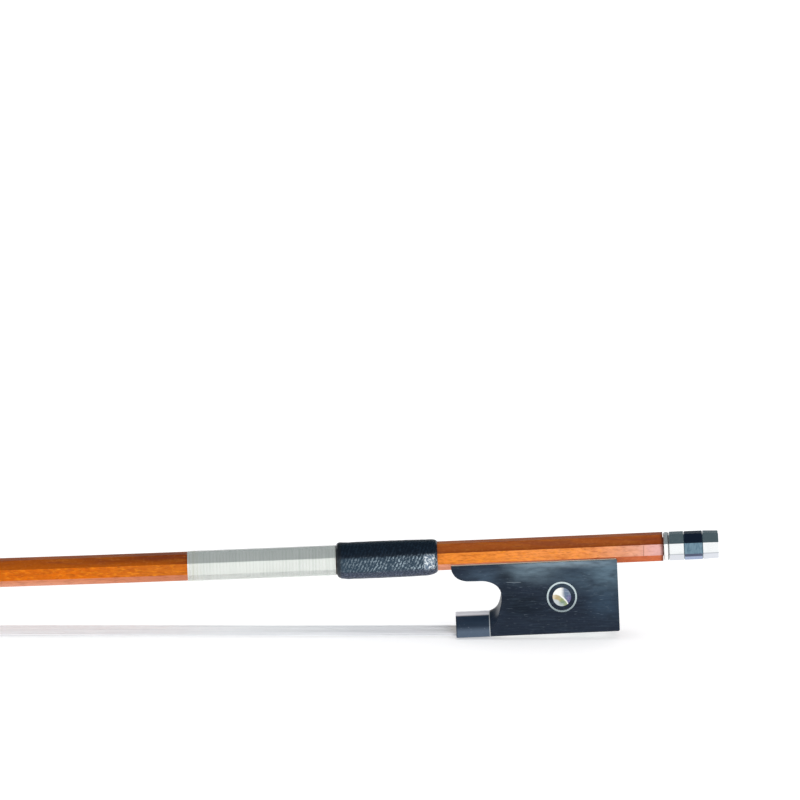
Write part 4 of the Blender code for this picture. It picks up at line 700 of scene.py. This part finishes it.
# %% A group that smooths shallow bends
smoothing = bpy.data.node_groups.new("weld and smooth", "GeometryNodeTree")
smoothing.interface.new_socket("Mesh", in_out="INPUT", socket_type="NodeSocketGeometry")
limit = smoothing.interface.new_socket("Limit", in_out="INPUT", socket_type="NodeSocketFloat")
smoothing.interface.new_socket("Mesh", in_out="OUTPUT", socket_type="NodeSocketGeometry")
given = put(smoothing, "NodeGroupInput")
welded = put(
    smoothing, "GeometryNodeMergeByDistance", {"Geometry": given.outputs["Mesh"], "Distance": 0.000002}
)
cleared = put(
    smoothing,
    "GeometryNodeRemoveAttribute",
    {"Geometry": welded.outputs["Geometry"], "Name": "custom_normal"},
)
smooth = put(
    smoothing, "GeometryNodeSetShadeSmooth", {"Geometry": cleared.outputs["Geometry"], "Shade Smooth": True}
)
angle = put(smoothing, "GeometryNodeInputMeshEdgeAngle")
steep = put(
    smoothing,
    "ShaderNodeMath",
    {0: angle.outputs["Unsigned Angle"], 1: given.outputs["Limit"]},
    operation="GREATER_THAN",
)
crisp = put(
    smoothing,
    "GeometryNodeSetShadeSmooth",
    {"Geometry": smooth.outputs["Geometry"], "Selection": steep.outputs["Value"], "Shade Smooth": False},
    domain="EDGE",
)
put(smoothing, "NodeGroupOutput", {"Mesh": crisp.outputs["Geometry"]})
print("smoothing group:", len(smoothing.nodes), "nodes")

# %% [markdown]
# Now every node of the frame gets its finish by its slot in the record. The ferrule and the button's
# middle have finishes of their own. Bevel widths are in millimetres: filed wood is softer at its
# edges than metal, and pieces that nobody sees stay as they are.

# %% Dress the frame's pieces
OWN_FINISH = {
    "ferrule": "ferrule",
    "underslide": "underslide",
    "button_collar": "collar",
    "eye_ring_left": "eye_ring",
    "eye_ring_right": "eye_ring",
    "button_core": "button_ebony",
}
BEVELS = {
    "stick": 0.12,
    "frog_block": 0.12,
    "ferrule": 0.06,
    "tip_plate": 0.08,
    "button_collar": 0.05,
    "button_front_ring": 0.07,
    "button_core": 0.07,
    "button_rear_cap": 0.07,
}
SMOOTH_UP_TO = math.radians(28)
for part in frame["record"]["subparts"]:
    name = part["node"]
    piece = frame["nodes"][name]
    piece.data.materials.clear()
    piece.data.materials.append(FINISHES[OWN_FINISH.get(name, part["material_slot"])])
    shading = piece.modifiers.new("weld and smooth", "NODES")
    shading.node_group = smoothing
    shading[limit.identifier] = SMOOTH_UP_TO
    if name in BEVELS:
        edge = piece.modifiers.new("filed edge", "BEVEL")
        edge.width = BEVELS[name] * MM
        edge.segments = 2
        edge.limit_method = "ANGLE"
        edge.angle_limit = SMOOTH_UP_TO
        edge.harden_normals = True
print("bevelled pieces:", len(BEVELS))

# %% [markdown]
# The three soft pieces are meshes made ring by ring. A strip of quads joins each ring to the next,
# so one function serves a leather tube and a single hair alike.

# %% Mesh from rings


def skin(rings, closed_along=False):
    """Points and faces of a tube through rings that all have the same number of points."""
    count = len(rings[0])
    points = [point for ring in rings for point in ring]
    faces = []
    for r in range(len(rings) if closed_along else len(rings) - 1):
        a, b = r * count, (r + 1) % len(rings) * count
        for k in range(count):
            n = (k + 1) % count
            faces.append((a + k, a + n, b + n, b + k))
    return points, faces


def make_piece(name, points, faces, slot, stands_for):
    """A smooth mesh with a finish, which stands for a node of the frame."""
    mesh = bpy.data.meshes.new(name)
    mesh.from_pydata([tuple(p) for p in points], [], faces)
    mesh.polygons.foreach_set("use_smooth", [True] * len(faces))
    mesh.materials.append(FINISHES[slot])
    piece = bpy.data.objects.new(name, mesh)
    bpy.context.scene.collection.objects.link(piece)
    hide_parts(stands_for)
    return piece


# %% [markdown]
# The stick under the grip is not quite straight: its camber starts here. These points of its axis
# are in millimetres, and every ring of wire and leather is set square to the line through them.

# %% The stick's axis under the grip
AXIS = [(205.0, 20.115), (215.93, 20.54), (226.02, 20.943), (236.01, 21.35), (246.0, 21.765),
        (256.0, 22.186), (265.99, 22.613), (275.98, 23.044), (285.97, 23.478), (295.0, 23.873)]
FLAT_TO_AXIS = 4.0 * MM  # the octagon is 8 mm across its flats


def axis_at(x):
    """The axis point and the stick's upward direction at X."""
    for (x0, z0), (x1, z1) in zip(AXIS, AXIS[1:]):
        if x <= x1 * MM:
            break
    slope = (z1 - z0) / (x1 - x0)
    up = Vector((-slope, 0.0, 1.0)).normalized()
    return Vector((x, 0.0, z0 * MM + (x - x0 * MM) * slope)), up


print("rise of the axis under the grip:", round(AXIS[-1][1] - AXIS[0][1], 2), "mm")

# %% [markdown]
# About 147 turns of wire, each 0.28 mm thick, lie side by side. The wire pulls tight over the
# stick's edges and lies flat on its facets, so it follows an octagon with rounded corners. One
# curve with a round bevel is one wire, as on the real bow.

# %% Wire winding
WIRE = 0.28 * MM
TURNS = 147
WIRE_BEND = 0.45 * MM  # radius over an edge of the stick


def octagon_path(flat, bend, steps):
    """Points round an octagon with rounded corners, as across and up."""
    corner = (flat - bend) / math.cos(math.pi / 8)
    path = []
    for k in range(8):
        middle = math.pi / 8 + k * math.pi / 4
        centre = (corner * math.cos(middle), corner * math.sin(middle))
        for s in range(steps):
            turn = middle - math.pi / 8 + math.pi / 4 * s / (steps - 1)
            path.append((centre[0] + bend * math.cos(turn), centre[1] + bend * math.sin(turn)))
    return path


loop = octagon_path(FLAT_TO_AXIS + 0.01 * MM + WIRE / 2, WIRE_BEND, 3)
wire_curve = bpy.data.curves.new("wire_turns", "CURVE")
wire_curve.dimensions = "3D"
wire_curve.bevel_depth = WIRE / 2
wire_curve.bevel_resolution = 1
wire_curve.use_fill_caps = True
run = wire_curve.splines.new("POLY")
count = TURNS * len(loop)
run.points.add(count)
for i in range(count + 1):
    x = WINDING_REAR - WIRE / 2 - (WINDING_REAR - WINDING_FRONT - WIRE) * i / count
    middle, up = axis_at(x)
    across, over = loop[i % len(loop)]
    run.points[i].co = (*(middle + ACROSS * across + up * over), 1.0)
wire_curve.materials.append(FINISHES["silver_wire"])
winding = bpy.data.objects.new("wire_turns", wire_curve)
bpy.context.scene.collection.objects.link(winding)
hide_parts("wire_winding")
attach(winding, "stick")
print("wire:", TURNS, "turns,", round((WINDING_REAR - WINDING_FRONT) / TURNS / MM, 3), "mm apart")

# %% [markdown]
# The grip is a piece of leather wrapped once round the stick. It swells over its middle, hangs a
# little lower there, rolls in at both ends and still shows the octagon below it, softly. Its overlap
# makes a low ridge under the stick. The outside runs out along the tube and the inside runs back,
# so the tube is closed.

# %% Leather grip
SWELL = [(0.0, 4.35), (0.12, 4.75), (0.5, 5.12), (1.2, 5.33), (3.0, 5.42), (12.0, 5.46), (22.0, 5.40),
         (27.0, 5.30), (28.4, 5.14), (29.2, 4.86), (29.6, 4.55), (29.75, 4.35)]
GRIP_LENGTH = SWELL[-1][0]
DROOP = 0.34  # how much lower its middle hangs
RIDGE_AT = math.radians(-62)  # on the far side, under the stick
LEATHER_AROUND = 112
LEATHER_STEP = 0.35


def swell_at(distance):
    """The grip's half thickness at a distance from its front end, in millimetres."""
    for (d0, r0), (d1, r1) in zip(SWELL, SWELL[1:]):
        if distance <= d1:
            break
    share = (distance - d0) / (d1 - d0)
    return r0 + (r1 - r0) * share


def leather_ring(distance, inside):
    """One ring of the grip, on its outside or its inside."""
    middle, up = axis_at(LEATHER_FRONT + distance * MM)
    droop = DROOP * min(1.0, distance / 3, (GRIP_LENGTH - distance) / 3)
    ring = []
    for k in range(LEATHER_AROUND):
        turn = 2 * math.pi * k / LEATHER_AROUND
        facet = (turn + math.pi / 8) % (math.pi / 4) - math.pi / 8
        if inside:
            radius = 4.03 / math.cos(facet)
        else:
            edge = 0.10 * (1 - math.cos(8 * turn)) / 2
            past = (turn - RIDGE_AT) % (2 * math.pi)
            ridge = 0.13 * max(0.0, 1 - past / 0.5)
            lump = 0.05 * noise.noise(Vector((distance * 0.9, 5 * math.cos(turn), 5 * math.sin(turn))))
            radius = min(swell_at(distance) + edge - 0.05 + ridge + lump, 5.54) - droop * math.sin(turn)
            radius = max(radius, 4.10 / math.cos(facet))
        direction = ACROSS * math.cos(turn) + up * math.sin(turn)
        ring.append(middle + direction * radius * MM)
    return ring


steps = [d for d, _ in SWELL] + [k * LEATHER_STEP for k in range(4, int(28.2 / LEATHER_STEP))]
steps = sorted(set(steps))
rings = [leather_ring(d, False) for d in steps] + [leather_ring(d, True) for d in reversed(steps)]
points, faces = skin(rings, closed_along=True)
grip = make_piece("leather_grip", points, faces, "black_leather", "thumb_leather")
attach(grip, "stick")
print("leather grip:", GRIP_LENGTH, "mm long and", len(faces), "faces")

# %% [markdown]
# The hair is the one piece that works: about 150 hairs, combed into a ribbon, wedged flat in the
# ferrule and in the head. This line gives the ribbon's middle in millimetres, with its width and
# thickness, from the knot in the head to the knot in the frog. Every hair keeps its own place
# across the ribbon and drifts a little along it, and its place among the layers changes, so that
# hairs cross now and then as combed hair does.

# %% Horsehair
RIBBON = [
    (-355.92, 4.96, 5.00, 0.90), (-355.92, 3.50, 5.00, 0.90), (-355.87, 2.10, 5.00, 0.90),
    (-355.47, 0.85, 5.30, 0.78), (-354.12, 0.30, 7.40, 0.60), (-349.00, 0.30, 8.00, 0.60),
    (-299.00, 0.35, 8.30, 0.60), (-91.81, 0.56, 9.04, 0.69), (115.37, 0.77, 9.77, 0.78),
    (292.96, 0.95, 10.40, 0.86), (294.96, 0.95, 10.40, 0.86), (296.96, 1.04, 10.40, 0.86),
    (304.20, 2.44, 7.00, 0.86), (307.19, 2.68, 7.00, 0.86), (318.38, 3.17, 7.00, 0.86),
    (320.08, 3.25, 6.80, 0.86), (320.73, 3.44, 6.80, 0.86), (320.87, 3.98, 6.80, 0.85),
    (320.77, 6.34, 6.80, 0.85),
]
HAIRS = 156
HAIR_RADIUS = 0.1
HAIR_SIDES = 5
LONGEST_STEP = 14.0


def ribbon_rows():
    """The ribbon's rows, with more between two that lie far apart."""
    rows = []
    for a, b in zip(RIBBON, RIBBON[1:]):
        gap = math.dist(a[:2], b[:2])
        cuts = max(1, round(gap / LONGEST_STEP))
        rows += [[p + (q - p) * c / cuts for p, q in zip(a, b)] for c in range(cuts)]
    return rows + [list(RIBBON[-1])]


def hair_rings(rows, across, layer, drift):
    """One hair: a thin tube that keeps its share of the ribbon's width."""
    rings = []
    for i, (x, z, width, thick) in enumerate(rows):
        before, after = rows[max(i - 1, 0)], rows[min(i + 1, len(rows) - 1)]
        direction = Vector((after[0] - before[0], 0, after[1] - before[1])).normalized()
        normal = Vector((-direction.z, 0, direction.x))
        sway = 0.035 * math.sin(x / 47 + drift) + 0.02 * math.sin(x / 17 + 3 * drift)
        share = max(-1.0, min(1.0, across + sway))
        level = max(-1.0, min(1.0, layer + 0.5 * math.sin(x / 83 + 5 * drift)))
        y = share * (width / 2 - HAIR_RADIUS)
        middle = Vector((x, y, z)) + normal * level * (thick / 2 - HAIR_RADIUS)
        ring = []
        for k in range(HAIR_SIDES):
            turn = 2 * math.pi * k / HAIR_SIDES
            offset = ACROSS * math.cos(turn) + normal * math.sin(turn)
            ring.append((middle + offset * HAIR_RADIUS) * MM)
        rings.append(ring)
    return rings


draw = random.Random(7)
rows = ribbon_rows()
points, faces = [], []
for i in range(HAIRS):
    across = 2 * (i + draw.random()) / HAIRS - 1
    rings = hair_rings(rows, across, draw.uniform(-1, 1), draw.uniform(0, 2 * math.pi))
    tube, sides = skin(rings)
    first = len(points)
    points += tube
    faces += [tuple(first + corner for corner in face) for face in sides]
    faces.append(tuple(first + k for k in reversed(range(HAIR_SIDES))))
    faces.append(tuple(len(points) - HAIR_SIDES + k for k in range(HAIR_SIDES)))
hair_piece = make_piece("horsehair_strands", points, faces, "horsehair", "hair_ribbon")
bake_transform(hair_piece)
print("hair:", HAIRS, "hairs and", len(faces), "faces")

# %% [markdown]
# The studio is white paper all round under a ceiling that is dim. Metal shows its surroundings, so
# a bright floor and horizon and a dim, bluish ceiling give every facet its own tone. Matt surfaces
# gather light from everywhere, and for them the ceiling is nearly as bright as the walls. The camera
# sees plain white.

# %% White surroundings
scene = bpy.context.scene
scene.view_settings.view_transform = "Standard"
world = bpy.data.worlds.new("white studio")
world.use_nodes = True
tree = world.node_tree
looking = put(tree, "ShaderNodeTexCoord").outputs["Generated"]
path = put(tree, "ShaderNodeLightPath")
CEILING_SHINE = linear("#506067")  # the ceiling in a metal's reflection
CEILING_LIGHT = linear("#DDDFE2")  # the ceiling as it lights matt surfaces
WHITE = (1.0, 1.0, 1.0, 1.0)
mirrored = layered(tree, WHITE, [(zone(tree, 1.0, (looking, UP, 0.04, 0.24)), CEILING_SHINE)])
lighting = layered(
    tree,
    WHITE,
    [
        (zone(tree, 1.0, (looking, UP, 0.1, 0.9)), CEILING_LIGHT),
        (path.outputs["Is Glossy Ray"], mirrored),
        (path.outputs["Is Camera Ray"], WHITE),
    ],
)
tree.links.new(lighting, tree.nodes["Background"].inputs["Color"])
scene.world = world
print("the ceiling's shine:", round(CEILING_SHINE[1], 3))

# %% [markdown]
# The floor is white card. Part of its light comes from the card itself, as on a light table, so it
# stays white to the camera and in the metal while the shadows of the bow still show on it. From
# below it is clear, so the bow can be looked at from there too.

# %% Floor
FLOOR_HALF = 3.0
card = bpy.data.meshes.new("white_card")
corners = [(-1, -1), (1, -1), (1, 1), (-1, 1)]
card.from_pydata([(x * FLOOR_HALF, y * FLOOR_HALF, 0.0) for x, y in corners], [], [(0, 1, 2, 3)])
floor = bpy.data.objects.new("white_card", card)
floor.location.z = LOW_BEFORE.z - 0.0002
scene.collection.objects.link(floor)
paper = bpy.data.materials.new("matt white card, lit from below")
paper.use_nodes = True
tree = paper.node_tree
tree.nodes.remove(tree.nodes["Principled BSDF"])
OWN_LIGHT = 0.43
glow = put(tree, "ShaderNodeEmission", {"Strength": OWN_LIGHT})
matt = put(tree, "ShaderNodeBsdfDiffuse", {"Color": linear("#E4E4E4")})
lit = put(tree, "ShaderNodeAddShader", {0: glow.outputs[0], 1: matt.outputs[0]})
side = put(tree, "ShaderNodeNewGeometry")
clear = put(tree, "ShaderNodeBsdfTransparent")
sides = {0: side.outputs["Backfacing"], 1: lit.outputs[0], 2: clear.outputs[0]}
seen = put(tree, "ShaderNodeMixShader", sides)
tree.links.new(seen.outputs[0], tree.nodes["Material Output"].inputs["Surface"])
card.materials.append(paper)
print("floor level in mm:", round(floor.location.z / MM, 2))

# %% [markdown]
# Four soft lamps stand low round the bow, two in front and two behind, so that it is lit alike
# from every side. They put the long highlights on the collar, the eye and the leather.

# %% Softboxes
LAMPS = [(0.75, -0.9, 0.30, 1.3), (-0.45, -1.0, 0.26, 1.1), (0.9, 0.9, 0.30, 1.1), (-0.5, 0.95, 0.26, 1.1)]
LAMP_AIM = Vector((0.27, 0.0, 0.015))
for x, y, z, power in LAMPS:
    lamp = bpy.data.lights.new("softbox", "AREA")
    lamp.energy = power
    lamp.size = 0.45
    softbox = bpy.data.objects.new("softbox", lamp)
    softbox.location = (x, y, z)
    aim = LAMP_AIM - softbox.location
    softbox.rotation_euler = aim.to_track_quat("-Z", "Y").to_euler()
    scene.collection.objects.link(softbox)
print("softboxes:", len(LAMPS))

# %% [markdown]
# A long lens looks at the frog end from a little above, square to the bow. The photograph leaves
# its upper half to another view of the head, so the camera aims over the bow here.

# %% Camera
PICTURE_WIDTH = 235.64 * MM
AIM = Vector((278.3, 0.0, 71.0)) * MM
ELEVATION = math.radians(13.6)
DISTANCE = 4.0
lens = bpy.data.cameras.new("long lens")
lens.sensor_width = 36.0
lens.lens = lens.sensor_width * DISTANCE / PICTURE_WIDTH
lens.clip_start = 0.01
camera = bpy.data.objects.new("camera", lens)
back = Vector((0, -math.cos(ELEVATION), math.sin(ELEVATION)))
camera.location = AIM + back * DISTANCE
camera.rotation_euler = (-back).to_track_quat("-Z", "Y").to_euler()
scene.collection.objects.link(camera)
scene.camera = camera
print("focal length in mm:", round(lens.lens))
